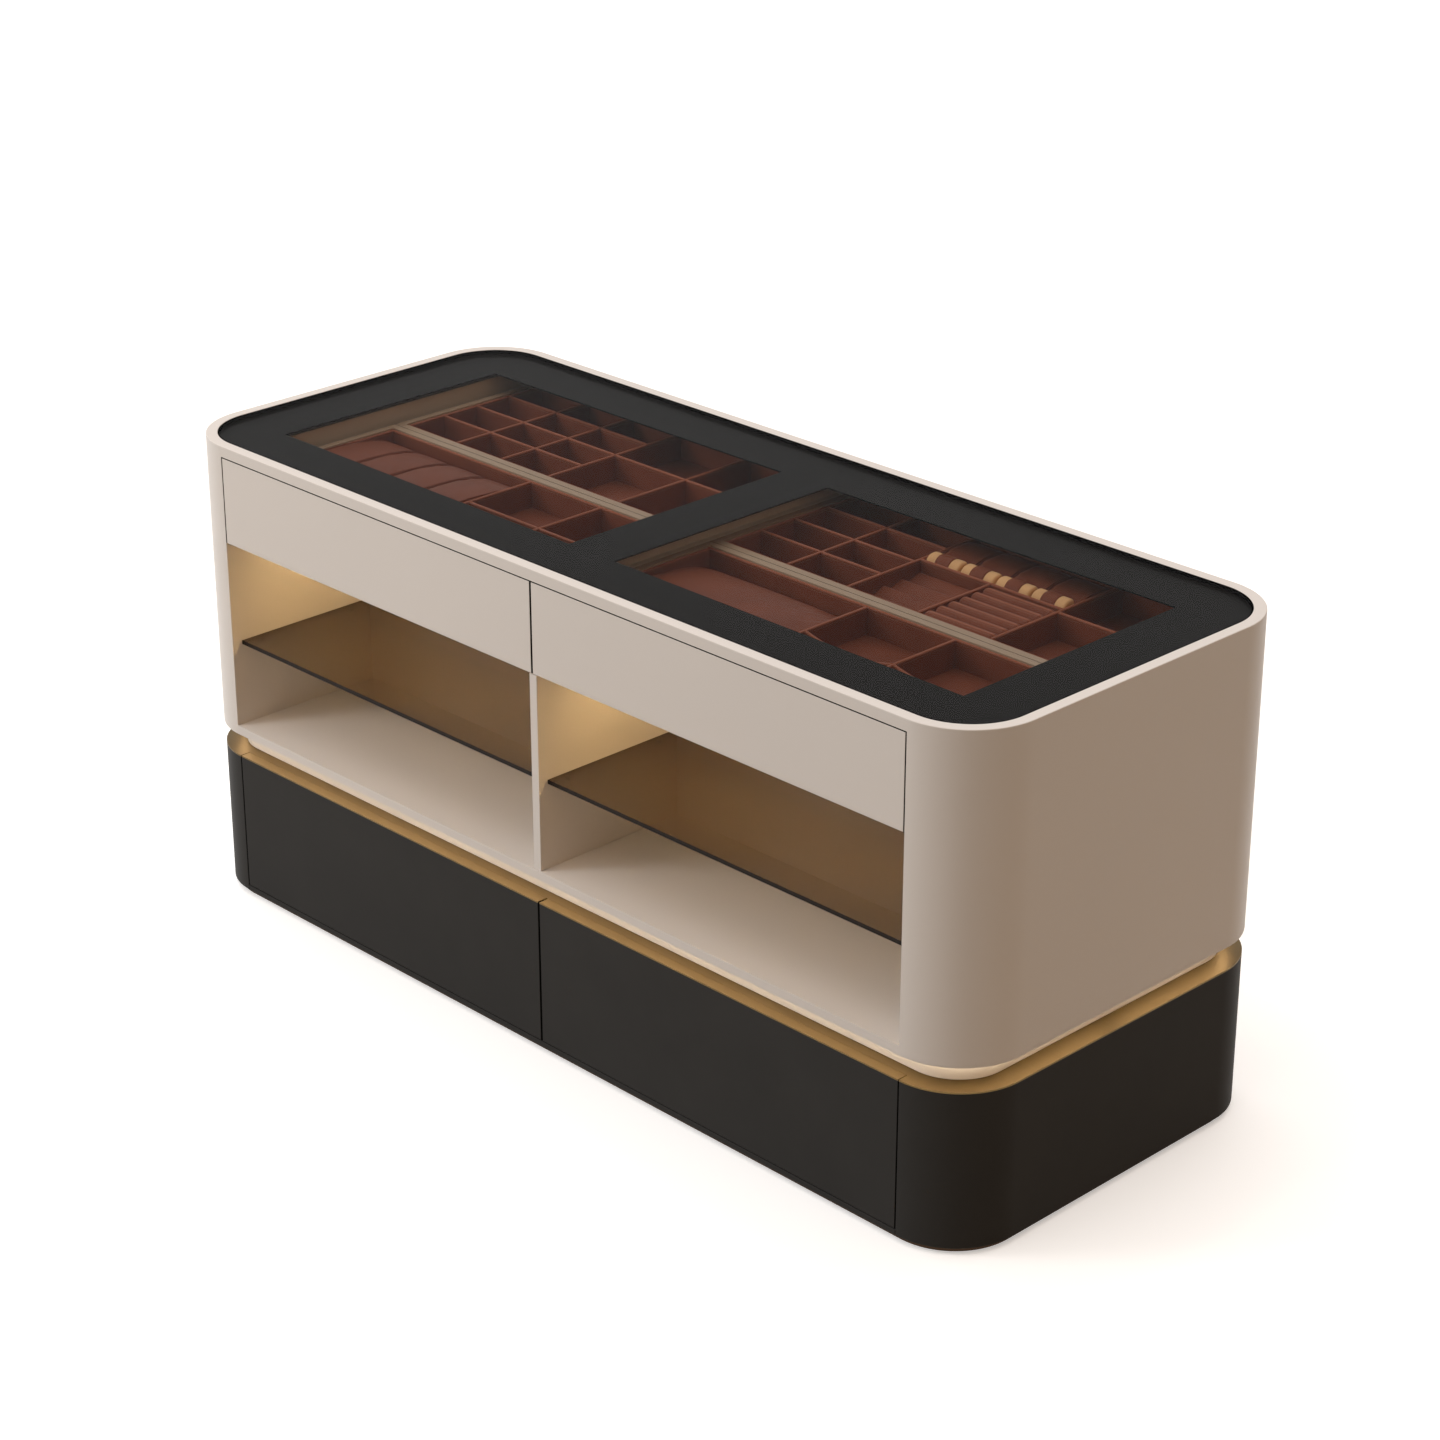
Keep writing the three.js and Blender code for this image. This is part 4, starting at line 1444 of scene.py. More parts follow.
@dataclass
class Base:
    """The black base with its brass plate, the toe board below and the lit reveal above."""

    shop: Workshop
    wall: float = 18 * MM
    edge: float = 1.2 * MM
    plate_edge: float = 0.35 * MM
    notch_edge: float = 0.42 * MM
    notch_inset: float = 0.462 * MM
    toe_edge: float = 0.5 * MM
    reveal_edge: float = 0.3 * MM
    light_width: float = 10 * MM

    def build(self) -> None:
        """Makes every piece of the base and of the reveal."""
        for hand in Hand:
            self.column(hand)
        self.floor()
        self.shop.dress("deck_board", BLACK)
        self.shop.dress("base_partition", BOX_BOARD)
        self.plate()
        self.rounded("toe_plinth", BRONZE, self.toe_edge)
        self.rounded("reveal_plinth", LACQUER, self.reveal_edge)
        for side in Side:
            self.reveal_light(side)

    def rounded(self, node: str, finish: Finish, edge: float) -> None:
        """A block whose round corners have the same centres as the case's."""
        box = Box.of(node)
        body = prism(PLAN.within(box.x, box.y), box.z, (edge, edge))
        self.shop.piece(f"{node}_block", body, finish, replaced=(node,))

    def column(self, hand: Hand) -> None:
        """An end column of the base, a bent shell with a floor."""
        box = Box.of("base_end_right")
        centre, radius = (box.x[0], PLAN.box.y[1] - PLAN.corner), PLAN.radius(box.x[1])
        outer = column_section(box.x[0], centre, radius, self.edge, PLAN.arc_steps)
        inner = column_section(box.x[0] + self.wall, centre, radius - self.wall, self.edge, PLAN.arc_steps)
        body = cup(outer, inner, (box.z[0], box.z[0] + self.wall, box.z[1]), self.edge)
        body = body if hand is Hand.RIGHT else body.turned()
        name = f"base_end_{hand.label}"
        self.shop.piece(f"{name}_shell", body, BLACK, replaced=(name,))

    def floor(self) -> None:
        """The bottom board and the steel runner bars on it."""
        box, top = Box.of("base_bottom"), Box.of("base_partition").z[0] - HAIRLINE
        body = board(box.x, box.y, (box.z[0], top), self.edge)
        self.shop.piece("base_floor", body, BLACK, replaced=("base_bottom",))
        bars = RUNNERS.bars(top, Box.of("lower_box_front_right").x, Box.of("lower_front_front_right").y[1])
        self.shop.piece("base_runners", bars, STEEL)

    def reveal_light(self, side: Side) -> None:
        """A light bar that follows half of the case's outline, over the brass plate."""
        box = Box.of("reveal_light_front")
        whole = PLAN.within(box.x, (box.y[0], -box.y[0]))
        half = len(whole.points) // 2
        points = np.concatenate([[(box.x[0], box.y[1])], whole.points[:half], [(box.x[1], box.y[1])]])
        normals = np.concatenate([[(-1.0, 0.0)], whole.normals[:half], [(1.0, 0.0)]])
        edge = Outline(points * -side.value, normals * -side.value)
        LightBar(self.shop, f"reveal_light_{side.label}", edge, self.light_width, REVEAL_GLOW).build()

    def plate(self) -> None:
        """The brass plate, notched in front of and behind the drawers, where their caps go on."""
        box, tiny = Box.of("brass_deck"), self.notch_edge
        opening, radius = PLAN.opening - self.notch_inset, PLAN.radius(box.x[1])
        notch = -Box.of("lower_front_front_right").y[1] - HAIRLINE
        x, y = box.x[1], box.y[1]
        corners = [
            (-opening, -notch), (opening, -notch), (opening, -y), (x, -y), (x, y), (opening, y),
            (opening, notch), (-opening, notch), (-opening, y), (-x, y), (-x, -y), (-opening, -y),
        ]
        outline = filleted(corners, [tiny, tiny, tiny, radius, radius, tiny] * 2, PLAN.arc_steps)
        body = prism(outline, box.z, (self.plate_edge, self.plate_edge), steps=2)
        self.shop.piece("brass_plate", body, BRASS, replaced=("brass_deck",))


@dataclass(frozen=True)
class Runners:
    """The runner bars on a board, two below each of four drawer boxes.

    Attributes:
        lip: The height of a bar's raised lip, and how much narrower the lip is on each side.
    """

    width: float = 14 * MM
    height: float = 10 * MM
    inset: float = 20 * MM
    margin: float = 30 * MM
    lip: float = 3 * MM
    edge: float = 0.4 * MM

    def starts(self, box_x: Span) -> Span:
        """Where the two bars below a drawer box begin, along the island."""
        return box_x[0] + self.inset, box_x[1] - self.inset - self.width

    def bars(self, level: float, box_x: Span, front_back: float) -> Body:
        """Makes the eight bars.

        Args:
            level: The board's top.
            box_x: The limits of the drawer box at the front right, along the island.
            front_back: The Y of that drawer front's back.

        Returns:
            The bars, each with a raised lip along its middle.
        """
        shoulder, top = level + self.height - self.lip, level + self.height
        bars = []
        for low, hand, side in product(self.starts(box_x), Hand, Side):
            x = ordered(hand.value * low, hand.value * (low + self.width))
            y = ordered(side.value * self.margin, side.value * (-front_back - self.margin))
            bars.append(board(x, y, (level, shoulder), self.edge))
            bars.append(board((x[0] + self.lip, x[1] - self.lip), y, (shoulder, top), self.edge))
        return joined(bars)


RUNNERS = Runners()


@dataclass
class Drawer:
    """What all eight drawers share: a box on two sliders."""

    shop: Workshop
    side: Side
    hand: Hand
    wall: float = 15 * MM
    floor: float = 9 * MM
    seam: float = 0.1 * MM
    floor_edge: float = 0.3 * MM
    slider_height: float = 6 * MM

    @property
    def label(self) -> str:
        """The words that its node names end in."""
        return f"{self.side.label}_{self.hand.label}"

    def build_box(self, level: str) -> None:
        """The box, joined with hairline seams, and its sliders.

        Args:
            level: The word upper or lower.
        """
        node, rider = f"{level}_box_{self.label}", f"{level}_drawer_{self.label}"
        box = Box.of(node)
        (x0, x1), (y0, y1), z = box.x, box.y, (box.z[0] + self.slider_height, box.z[1])
        sides = [board(x, (y0, y1), z) for x in ((x0, x0 + self.wall), (x1 - self.wall, x1))]
        step = self.wall + self.seam
        inner = (x0 + step, x1 - step)
        ends = [board(inner, y, z) for y in ((y0, y0 + self.wall), (y1 - self.wall, y1))]
        floor = board(inner, (y0 + step, y1 - step), (z[0], z[0] + self.floor), self.floor_edge)
        self.shop.piece(f"{node}_boards", joined([*sides, *ends, floor]), BOX_BOARD, rider, (node,))
        sliders = [
            board((x, x + RUNNERS.width), box.y, (box.z[0], z[0]), RUNNERS.edge)
            for x in RUNNERS.starts(box.x)
        ]
        self.shop.piece(f"{node}_sliders", joined(sliders), STEEL, rider)


@dataclass
class LowerDrawer(Drawer):
    """A drawer of the base: black front, brass cap on its top edge, and the box."""

    edge: float = 0.7 * MM
    cap_edge: float = 0.35 * MM

    def build(self) -> None:
        """Makes the drawer's pieces."""
        for kind, part, finish, edge in (
            ("lower_front", "board", BLACK, self.edge), ("brass_cap", "strip", BRASS, self.cap_edge)
        ):
            node = f"{kind}_{self.label}"
            box = Box.of(node)
            body = board(box.x, box.y, box.z, edge)
            self.shop.piece(f"{node}_{part}", body, finish, f"lower_drawer_{self.label}", (node,))
        self.build_box("lower")


@dataclass
class UpperDrawer(Drawer):
    """A drawer below the glass: cream front with a bevelled grip, box and jewellery tray."""

    edge: float = 0.6 * MM
    grip_height: float = 12 * MM
    grip_depth: float = 8 * MM

    def build(self) -> None:
        """Makes the drawer's pieces."""
        node = f"upper_front_{self.label}"
        box, sign = Box.of(node), self.side.value
        near, far = box.y[::sign]
        corners = [
            (near, box.z[0] + self.grip_height), (far - sign * self.grip_depth, box.z[0]),
            (far, box.z[0]), (far, box.z[1]), (near, box.z[1]),
        ]
        outline = filleted(corners[::sign], [self.edge] * 5, 3)
        body = prism(outline, box.x, (self.edge, self.edge), Axis.X)
        self.shop.piece(f"{node}_board", body, LACQUER, f"upper_drawer_{self.label}", (node,))
        self.build_box("upper")
        Tray(self.shop, self.label, BAYS[(self.side, self.hand)]).build()


@dataclass(frozen=True)
class Bay:
    """A stretch of a tray from the front to the rear.

    Attributes:
        share: Its share of the tray's inner length.
        row_shares: The shares of its compartments, from the front to the rear.
        insert: What it holds.
        scooped: True where the wall across it sags to a scoop.
    """

    share: float
    row_shares: tuple[float, ...] = (1.0,)
    insert: Insert = Insert.NONE
    scooped: bool = False


QUARTERS = (0.25,) * 4
HALVES = (0.5,) * 2
FRONT_ROWS = (0.56, 0.44)
CORE_ROWS = (0.545, 0.455)
BAYS: dict[tuple[Side, Hand], list[Bay]] = {
    (Side.FRONT, Hand.LEFT): [
        Bay(0.509, insert=Insert.WATCHES), Bay(0.2445, FRONT_ROWS), Bay(0.2465, FRONT_ROWS),
    ],
    (Side.FRONT, Hand.RIGHT): [
        Bay(0.482, insert=Insert.NECKLACES),
        Bay(0.255, FRONT_ROWS, scooped=True), Bay(0.263, FRONT_ROWS, scooped=True),
    ],
    (Side.REAR, Hand.LEFT): [
        Bay(0.175, QUARTERS), Bay(0.164, QUARTERS), Bay(0.17, QUARTERS),
        Bay(0.2445, HALVES), Bay(0.2465, HALVES),
    ],
    (Side.REAR, Hand.RIGHT): [
        Bay(0.186, QUARTERS), Bay(0.185, QUARTERS),
        Bay(0.416, CORE_ROWS, Insert.RINGS_AND_WATCHES), Bay(0.213, HALVES),
    ],
}


@dataclass
class Tray:
    """A leather-lined jewellery tray with its compartments and inserts.

    Attributes:
        bays: Its bays, from left to right.
        lip: The depth of the suede supports behind the rings.
    """

    shop: Workshop
    label: str
    bays: list[Bay]
    wall: float = 7 * MM
    floor: float = 8 * MM
    floor_edge: float = 1.5 * MM
    dip: float = 14 * MM
    insert_gap: float = 1.5 * MM
    lip: float = 31.0 * MM
    lip_height: float = 57.0 * MM

    @property
    def rider(self) -> str:
        """The body that it rides on."""
        return f"upper_drawer_{self.label}"

    @property
    def box(self) -> Box:
        """The box of its node."""
        return Box.of(f"tray_{self.label}")

    @property
    def level(self) -> float:
        """The top of its floor."""
        return self.box.z[0] + self.floor

    def build(self) -> None:
        """Makes the tray and what lies in it."""
        box = self.box
        walls = self.outer_walls(box)
        inner_y = (box.y[0] + self.wall, box.y[1] - self.wall)
        columns = self.split((box.x[0] + self.wall, box.x[1] - self.wall), [bay.share for bay in self.bays])
        for left, right in zip(columns, columns[1:]):
            middle = (left[1] + right[0]) / 2
            walls.append(self.upright(((middle, inner_y[0]), (middle, inner_y[1]))))
        for bay, x in zip(self.bays, columns):
            rows = self.split(inner_y, list(bay.row_shares))
            for near, far in zip(rows, rows[1:]):
                middle = (near[1] + far[0]) / 2
                walls.append(self.upright(((x[0], middle), (x[1], middle)), self.dip if bay.scooped else 0.0))
            walls += self.fill(bay, x, rows)
        pad = board(box.x, box.y, (box.z[0], self.level), self.floor_edge)
        node = f"tray_{self.label}"
        self.shop.piece(f"{node}_lining", joined([pad, *walls]), LEATHER, self.rider, (node,))

    def upright(self, ends: tuple[Span, Span], dip: float = 0.0) -> Body:
        """A partition of the tray that stands on its floor."""
        return padded_wall(ends, self.wall, (self.level - HAIRLINE, self.box.z[1]), dip)

    def outer_walls(self, box: Box) -> list[Body]:
        """The four outer walls, with their middle lines half a wall inside the tray."""
        half = self.wall / 2
        (x0, x1), (y0, y1) = box.x, box.y
        lines = [((x0, y), (x1, y)) for y in (y0 + half, y1 - half)]
        lines += [((x, y0 + self.wall), (x, y1 - self.wall)) for x in (x0 + half, x1 - half)]
        return [self.upright(line) for line in lines]

    def split(self, span: Span, shares: list[float]) -> list[Span]:
        """Stretches of a span by shares, with half a partition taken from each inner end."""
        marks = span[0] + (span[1] - span[0]) * np.cumsum([0.0, *shares])
        half = self.wall / 2
        stretches = []
        for i, (low, high) in enumerate(zip(marks, marks[1:])):
            start = low if i == 0 else low + half
            end = high if i == len(shares) - 1 else high - half
            stretches.append((float(start), float(end)))
        return stretches

    def fill(self, bay: Bay, x: Span, rows: list[Span]) -> list[Body]:
        """What a bay holds. Inserts become pieces of their own.

        Args:
            bay: The bay.
            x: Its limits along the island.
            rows: The limits of its compartments across it.

        Returns:
            Further walls of the tray.
        """
        if bay.insert is Insert.WATCHES:
            self.insert(WatchCushions, "watch_cushion", x, rows[0])
        if bay.insert is Insert.NECKLACES:
            self.insert(NecklacePad, "necklace_pad", x, rows[0])
        if bay.insert is not Insert.RINGS_AND_WATCHES:
            return []
        rack_x, ring_x = self.split(x, list(HALVES))
        self.insert(BraceletRack, "bracelet_rack", rack_x, rows[0], gap=0.0)
        self.insert(RingRoll, "ring_roll", ring_x, rows[0])
        self.insert(WatchCushions, "watch_cushion", x, rows[1], lip=self.lip, lip_height=self.lip_height)
        middle = (rack_x[1] + ring_x[0]) / 2
        return [self.upright(((middle, rows[0][0]), (middle, rows[0][1])))]

    def insert(
        self,
        kind: "type[PaddedInsert]",
        name: str,
        x: Span,
        y: Span,
        gap: float | None = None,
        **sizes: float,
    ) -> None:
        """Puts an insert into a compartment.

        Args:
            kind: The insert's class.
            name: What its node's name begins with.
            x: The compartment's limits along the island.
            y: Its limits across it.
            gap: The room round the insert, where it isn't the usual one.
            sizes: Sizes of the insert that differ from its own.
        """
        gap = self.insert_gap if gap is None else gap
        limits = [(low + gap, high - gap) for low, high in (x, y)]
        kind(self.shop, *limits, self.level, self.rider, f"{name}_{self.label}", **sizes).build()


@dataclass
class PaddedInsert:
    """A padded insert of a tray.

    Attributes:
        level: The tray's floor.
        node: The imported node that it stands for.
        panel_shares: The sizes of the rings that close a side panel, as shares of its outline.
    """

    shop: Workshop
    x: Span
    y: Span
    level: float
    rider: str
    node: str
    seat: float = 0.4 * MM
    panel_shares: tuple[float, ...] = (0.7, 0.4, 0.08)

    def stuffed(self, part: str, body: Body, fill: float, soft: bool = True) -> None:
        """Makes the piece that is stuffed, which stands for the node.

        Args:
            part: What the piece's name ends in.
            body: Its surface.
            fill: How full it is. Not used.
            soft: True where it is to be smooth all over and subdivided once.
        """
        made = self.shop.piece(f"{self.node}_{part}", body, LEATHER, self.rider, (self.node,), soft)

    def closed(self, arcs: list[np.ndarray], bulge: float = 0.0) -> Body:
        """A skin of arcs along X, closed by rings that shrink to the middle of the first and the last.

        Args:
            arcs: The arcs from one end to the other.
            bulge: How far the ends' middles stand out.

        Returns:
            The closed body.
        """
        ends = []
        for arc, sign in ((arcs[0], -1.0), (arcs[-1], 1.0)):
            centre, out = arc.mean(axis=0), np.array([sign * bulge, 0.0, 0.0])
            ends.append([centre + (arc - centre) * share + out * (1 - share) for share in self.panel_shares])
        return stack([*ends[0][::-1], *arcs, *ends[1]])


@dataclass
class WatchCushions(PaddedInsert):
    """Four arched cushions side by side on tan suede supports, each with piping along both its seams.

    Attributes:
        lip_round_shares: The lip's outer and inner radius on top, as shares of its depth.
        tongue_share: Half the tongue's width, as a share of the cushion's.
        taper: The share of a cushion's width that is lost at its feet.
        arch_powers: The powers that flatten the arch across, upwards, and in its taper.
        slack: How much lower than the full height the skin is sewn, before it is filled.
        crown: How much lower the top is at the seams, as a share of the height.
    """

    count: int = 4
    gap: float = 5.0 * MM
    lip: float = 4.0 * MM
    lip_height: float = 26.0 * MM
    cradle_floor: float = 12.0 * MM
    cradle_edge: float = 0.8 * MM
    lip_round_shares: Span = (0.6, 0.25)
    lip_end: float = 5.0 * MM
    tongue: float = 1.4 * MM
    tongue_share: float = 0.21
    tongue_edge: float = 1.0 * MM
    taper: float = 0.24
    arch_powers: tuple[float, float, float] = (0.75, 0.9, 1.2)
    proud: float = 3.0 * MM
    slack: float = 4.5 * MM
    crown: float = 0.05
    side_bulge: float = 1.5 * MM
    side_room: float = 0.4
    piping: float = 1.1 * MM
    seam_share: float = 0.9

    def build(self) -> None:
        """Makes the supports, the cushions and their piping."""
        under = self.level + self.seat
        self.base = under + self.cradle_floor + HAIRLINE
        self.top = Box.of(self.node).z[1] + self.proud
        self.height = self.top - self.base - self.slack
        self.middle = (self.y[0] + self.lip + self.y[1]) / 2
        self.half = self.y[1] - self.middle
        pitch = (self.x[1] - self.x[0] + self.gap) / self.count
        self.width = pitch - self.gap
        one, cords = self.filled(), self.seams()
        supports = [board(self.x, self.y, (under, self.base - HAIRLINE), self.cradle_edge)]
        rolls, trimmings = [], []
        for i in range(self.count):
            x = self.x[0] + i * pitch + self.width / 2
            rolls.append(one.moved(x))
            trimmings += [cord.moved(x) for cord in cords]
            supports.append(self.support(x, self.width / 2, self.lip_end))
            trimmings.append(self.support(x, self.width * self.tongue_share, self.tongue_edge, self.tongue))
        self.shop.piece(f"{self.node}_cradle", joined(supports), SUEDE, self.rider)
        self.stuffed("rolls", joined(rolls), 0.8)
        self.shop.piece(f"{self.node}_piping", joined(trimmings), LEATHER, self.rider)

    def support(self, x: float, half: float, edge: float, proud: float = 0.0) -> Body:
        """The suede lip in front of one cushion, with a large round outside, or the leather tongue over it.

        Args:
            x: The cushion's middle.
            half: Half the width.
            edge: The radius of the soft ends, if the lip is deep enough.
            proud: How far it stands out over the lip, of which half in front.

        Returns:
            The closed body.
        """
        top = self.level + self.seat + self.lip_height + proud
        corners = rectangle((self.y[0] - proud / 2, self.y[0] + self.lip), (self.base, top))
        outer, inner = (self.lip * share for share in self.lip_round_shares)
        end = min(edge, inner)
        outline = filleted(corners, [end, end, inner, outer], 8)
        return prism(outline, (x - half, x + half), (end, end), Axis.X, 5)

    def arch(self, share: np.ndarray) -> tuple[np.ndarray, np.ndarray, np.ndarray]:
        """The arch of a cushion seen from its side, from one foot over the top to the other.

        The place across is the cosine and the height the sine of an angle that goes half round, each
        to a power that flattens it. The width tapers by one minus the sine to a power.

        Args:
            share: Places along the arch, from nought to one.

        Returns:
            The place across the bay from minus one to one, the height from nought to one, and the
            cushion's half width there, which is least at the feet.
        """
        flat, rise, narrow = self.arch_powers
        cosine, sine = np.cos(math.pi * share), np.sin(math.pi * share)
        half_width = self.width / 2 * (1 - self.taper * (1 - sine) ** narrow)
        return np.sign(cosine) * np.abs(cosine) ** flat, sine**rise, half_width

    def sewn(self, rings: int = 15, steps: int = 40) -> Body:
        """One cushion before it is filled, round X of nought.

        A ring at t from minus one to one lies at t half widths. The top is a little lower towards
        the seams, and each side panel is closed by rings that shrink to its middle.
        """
        across, up, half_width = self.arch(np.linspace(0, 1, steps + 1))
        y = self.middle + self.half * across
        arcs = [
            np.column_stack([half_width * t, y, self.base + self.height * up * (1 - self.crown * t**4)])
            for t in np.linspace(-1, 1, rings)
        ]
        return self.closed(arcs, self.side_bulge)

    def places(self, points: np.ndarray) -> tuple[np.ndarray, np.ndarray]:
        """Where points lie on a cushion: their share along the arch, and how far out they are in it."""
        flat, rise, _ = self.arch_powers
        u = (points[:, 1] - self.middle) / self.half
        v = np.clip((points[:, 2] - self.base) / self.height, 0, None)
        cosine, sine = np.sign(u) * np.abs(u) ** (1 / flat), v ** (1 / rise)
        return np.clip(np.arctan2(sine, cosine) / math.pi, 0, 1), np.hypot(cosine, sine)

    def filled(self) -> Body:
        """One cushion, held along its seams and its foot while it is filled."""

        def held(points: np.ndarray) -> np.ndarray:
            """Tells which points stay where they are."""
            share, out = self.places(points)
            seam = (np.abs(points[:, 0]) > self.arch(share)[2] * self.seam_share) & (out > self.seam_share)
            return seam | (points[:, 2] < self.base + HAIRLINE)

        room = self.width / 2 + self.gap * self.side_room
        reach = self.half + self.gap
        space = Box(
            np.array([-room, self.middle - reach, self.base]), np.array([room, self.middle + reach, self.top])
        )
        body = Stuffing(reach=self.slack).fill(self.sewn(), held, space)
        share, _ = self.places(body.vertices)
        along = share * math.pi * (self.half + self.height) / 2
        from_seam = self.arch(share)[2] - np.abs(body.vertices[:, 0])
        return Body(body.vertices, body.faces, np.column_stack([along, from_seam]))

    def seams(self, steps: int = 48) -> list[Body]:
        """The piping of a cushion: a thin cord along the arch on both its sides, round X of nought."""
        across, up, half_width = self.arch(np.linspace(0, 1, steps + 1))
        lift = self.base + self.height * up * (1 - self.crown)
        line = np.column_stack([half_width, self.middle + self.half * across, lift])
        return [tube(line * (side, 1.0, 1.0), self.piping) for side in (1.0, -1.0)]


@dataclass
class NecklacePad(PaddedInsert):
    """A long stuffed leather pad with piping round both end panels, on which necklaces lie.

    Attributes:
        fullness: The power of the superellipse that is the pad's section.
        end_share: The height of the end panels, as a share of the pad's.
        side_slack: How much narrower it is sewn on each side, before it is filled.
    """

    piping: float = 1.3 * MM
    fullness: float = 2.4
    end_share: float = 0.86
    end_inset: float = 3.0 * MM
    proud: float = 7.0 * MM
    slack: float = 5.0 * MM
    side_slack: float = 3.0 * MM
    seam_share: float = 0.93
    voxel: float = 5.5 * MM

    def build(self) -> None:
        """Makes the pad and its piping."""
        self.base = self.level + self.seat
        self.top = Box.of(self.node).z[1] + self.proud
        self.height = self.top - self.base - self.slack
        self.middle = np.array([(self.x[0] + self.x[1]) / 2, (self.y[0] + self.y[1]) / 2])
        self.length = (self.x[1] - self.x[0]) / 2 - self.end_inset
        self.half = (self.y[1] - self.y[0]) / 2 - self.side_slack
        self.stuffed("dome", self.filled(), 0.7)
        self.shop.piece(f"{self.node}_piping", joined(self.seams()), LEATHER, self.rider)

    def section(self, angles: np.ndarray) -> tuple[np.ndarray, np.ndarray]:
        """The section, a superellipse: cosine and sine, each to the power of two over the fullness."""
        power = 2 / self.fullness
        cosine, sine = np.cos(angles), np.sin(angles)
        return np.sign(cosine) * np.abs(cosine) ** power, np.abs(sine) ** power

    def swell(self, t: float) -> float:
        """The height at t from minus one to one along the pad, as a share of the height in its middle."""
        return self.end_share + (1 - self.end_share) * math.sqrt(max(0.0, 1 - t**6))

    def sewn(self, rings: int = 31, steps: int = 40) -> Body:
        """The pad before it is filled: its section at rings along X, and end panels of shrinking rings."""
        across, up = self.section(np.linspace(0, math.pi, steps + 1))
        y = self.middle[1] + self.half * across
        arcs = [
            np.column_stack([
                np.full(steps + 1, self.middle[0] + self.length * t),
                y,
                self.base + self.height * self.swell(t) * up,
            ])
            for t in np.sin(np.linspace(-math.pi / 2, math.pi / 2, rings))
        ]
        return self.closed(arcs)

    def filled(self) -> Body:
        """The pad, held along the seams of its end panels and at its foot while it is filled."""

        def held(points: np.ndarray) -> np.ndarray:
            """Tells which points stay where they are."""
            u = np.abs(points[:, 1] - self.middle[1]) / self.half
            v = np.clip((points[:, 2] - self.base) / (self.height * self.end_share), 0, None)
            out = (u**self.fullness + v**self.fullness) ** (1 / self.fullness)
            end = np.abs(points[:, 0] - self.middle[0]) > self.length - self.end_inset
            return (end & (out > self.seam_share)) | (points[:, 2] < self.base + HAIRLINE)

        space = Box(np.array([self.x[0], self.y[0], self.base]), np.array([self.x[1], self.y[1], self.top]))
        body = Stuffing(voxel=self.voxel, reach=self.slack).fill(self.sewn(), held, space)
        from_end = self.length - np.abs(body.vertices[:, 0] - self.middle[0])
        angle = np.arctan2(body.vertices[:, 2] - self.base, body.vertices[:, 1] - self.middle[1])
        follow = np.column_stack([angle * (self.half + self.height) / 2, np.abs(from_end)])
        return Body(body.vertices, body.faces, follow)

    def seams(self, steps: int = 64) -> list[Body]:
        """The piping along both seams, which follows the section of the end panels."""
        across, up = self.section(np.linspace(0, math.pi, steps + 1))
        y, z = self.middle[1] + self.half * across, self.base + self.height * self.end_share * up
        places = (self.middle[0] - self.length, self.middle[0] + self.length)
        return [tube(np.column_stack([np.full(steps + 1, x), y, z]), self.piping) for x in places]


@dataclass
class RingRoll(PaddedInsert):
    """Soft rolls side by side on a common base, between which rings are held."""

    count: int = 6
    pinch: float = 0.5 * MM
    round_share: float = 0.5
    base_share: float = 0.4
    base_edge: float = 2 * MM

    def build(self) -> None:
        """Makes the rolls."""
        radius = (self.y[1] - self.y[0]) / self.count / 2
        middle = Box.of(self.node).z[1] - radius
        places = [self.y[0] + (2 * i + 1) * radius for i in range(self.count)]
        rolls = [self.roll(y, middle, radius - self.pinch / 2) for y in places]
        z = (self.level + self.seat, middle - radius * self.base_share)
        body = joined([*rolls, board(self.x, self.y, z, self.base_edge)])
        self.stuffed("rolls", body, 0.8, soft=False)

    def roll(self, y: float, z: float, radius: float, steps: int = 24, rings: int = 9) -> Body:
        """A roll along X with rounded ends: near an end its radius falls off as a quarter circle."""
        insets, rises = quarter(radius * self.round_share, rings)
        length = np.concatenate([self.x[0] + rises, (self.x[1] - rises)[::-1]])
        shrink = np.concatenate([insets, insets[::-1]])
        angles = np.linspace(0, 2 * math.pi, steps, endpoint=False)
        skins = [
            np.column_stack([
                np.full(steps, x),
                y + (radius - d) * np.cos(angles),
                z + (radius - d) * np.sin(angles),
            ])
            for x, d in zip(length, shrink)
        ]
        body = stack(skins)
        from_crest = radius * np.abs(angles - math.pi / 2)
        follow = np.column_stack([np.repeat(length, steps), np.tile(from_crest, len(length))])
        return Body(body.vertices, body.faces, follow)


@dataclass
class BraceletRack(PaddedInsert):
    """Padded bars in steps, each leaning back towards the next."""

    steps: int = 4
    rise: float = 14 * MM
    slope: float = 16 * MM
    joint: float = 0.4 * MM
    end_gap: float = 0.6 * MM
    end_edge: float = 2 * MM
    foot_round: float = 2.2 * MM
    back_round: float = 5 * MM
    front_round: float = 4 * MM

    def build(self) -> None:
        """Makes the bars."""
        pitch = (self.y[1] - self.y[0]) / self.steps
        foot, low = self.level - HAIRLINE, self.level + self.rise
        radii = [self.foot_round, self.foot_round, self.back_round, self.front_round]
        span = (self.x[0] + self.end_gap, self.x[1] - self.end_gap)
        bars = []
        for i in range(self.steps):
            front, back = self.y[0] + i * pitch, self.y[0] + (i + 1) * pitch - self.joint
            corners = [(front, foot), (back, foot), (back, low + self.slope), (front, low)]
            bars.append(prism(filleted(corners, radii, 6), span, (self.end_edge, self.end_edge), Axis.X, 4))
        self.shop.piece(self.node, joined(bars), LEATHER, self.rider)


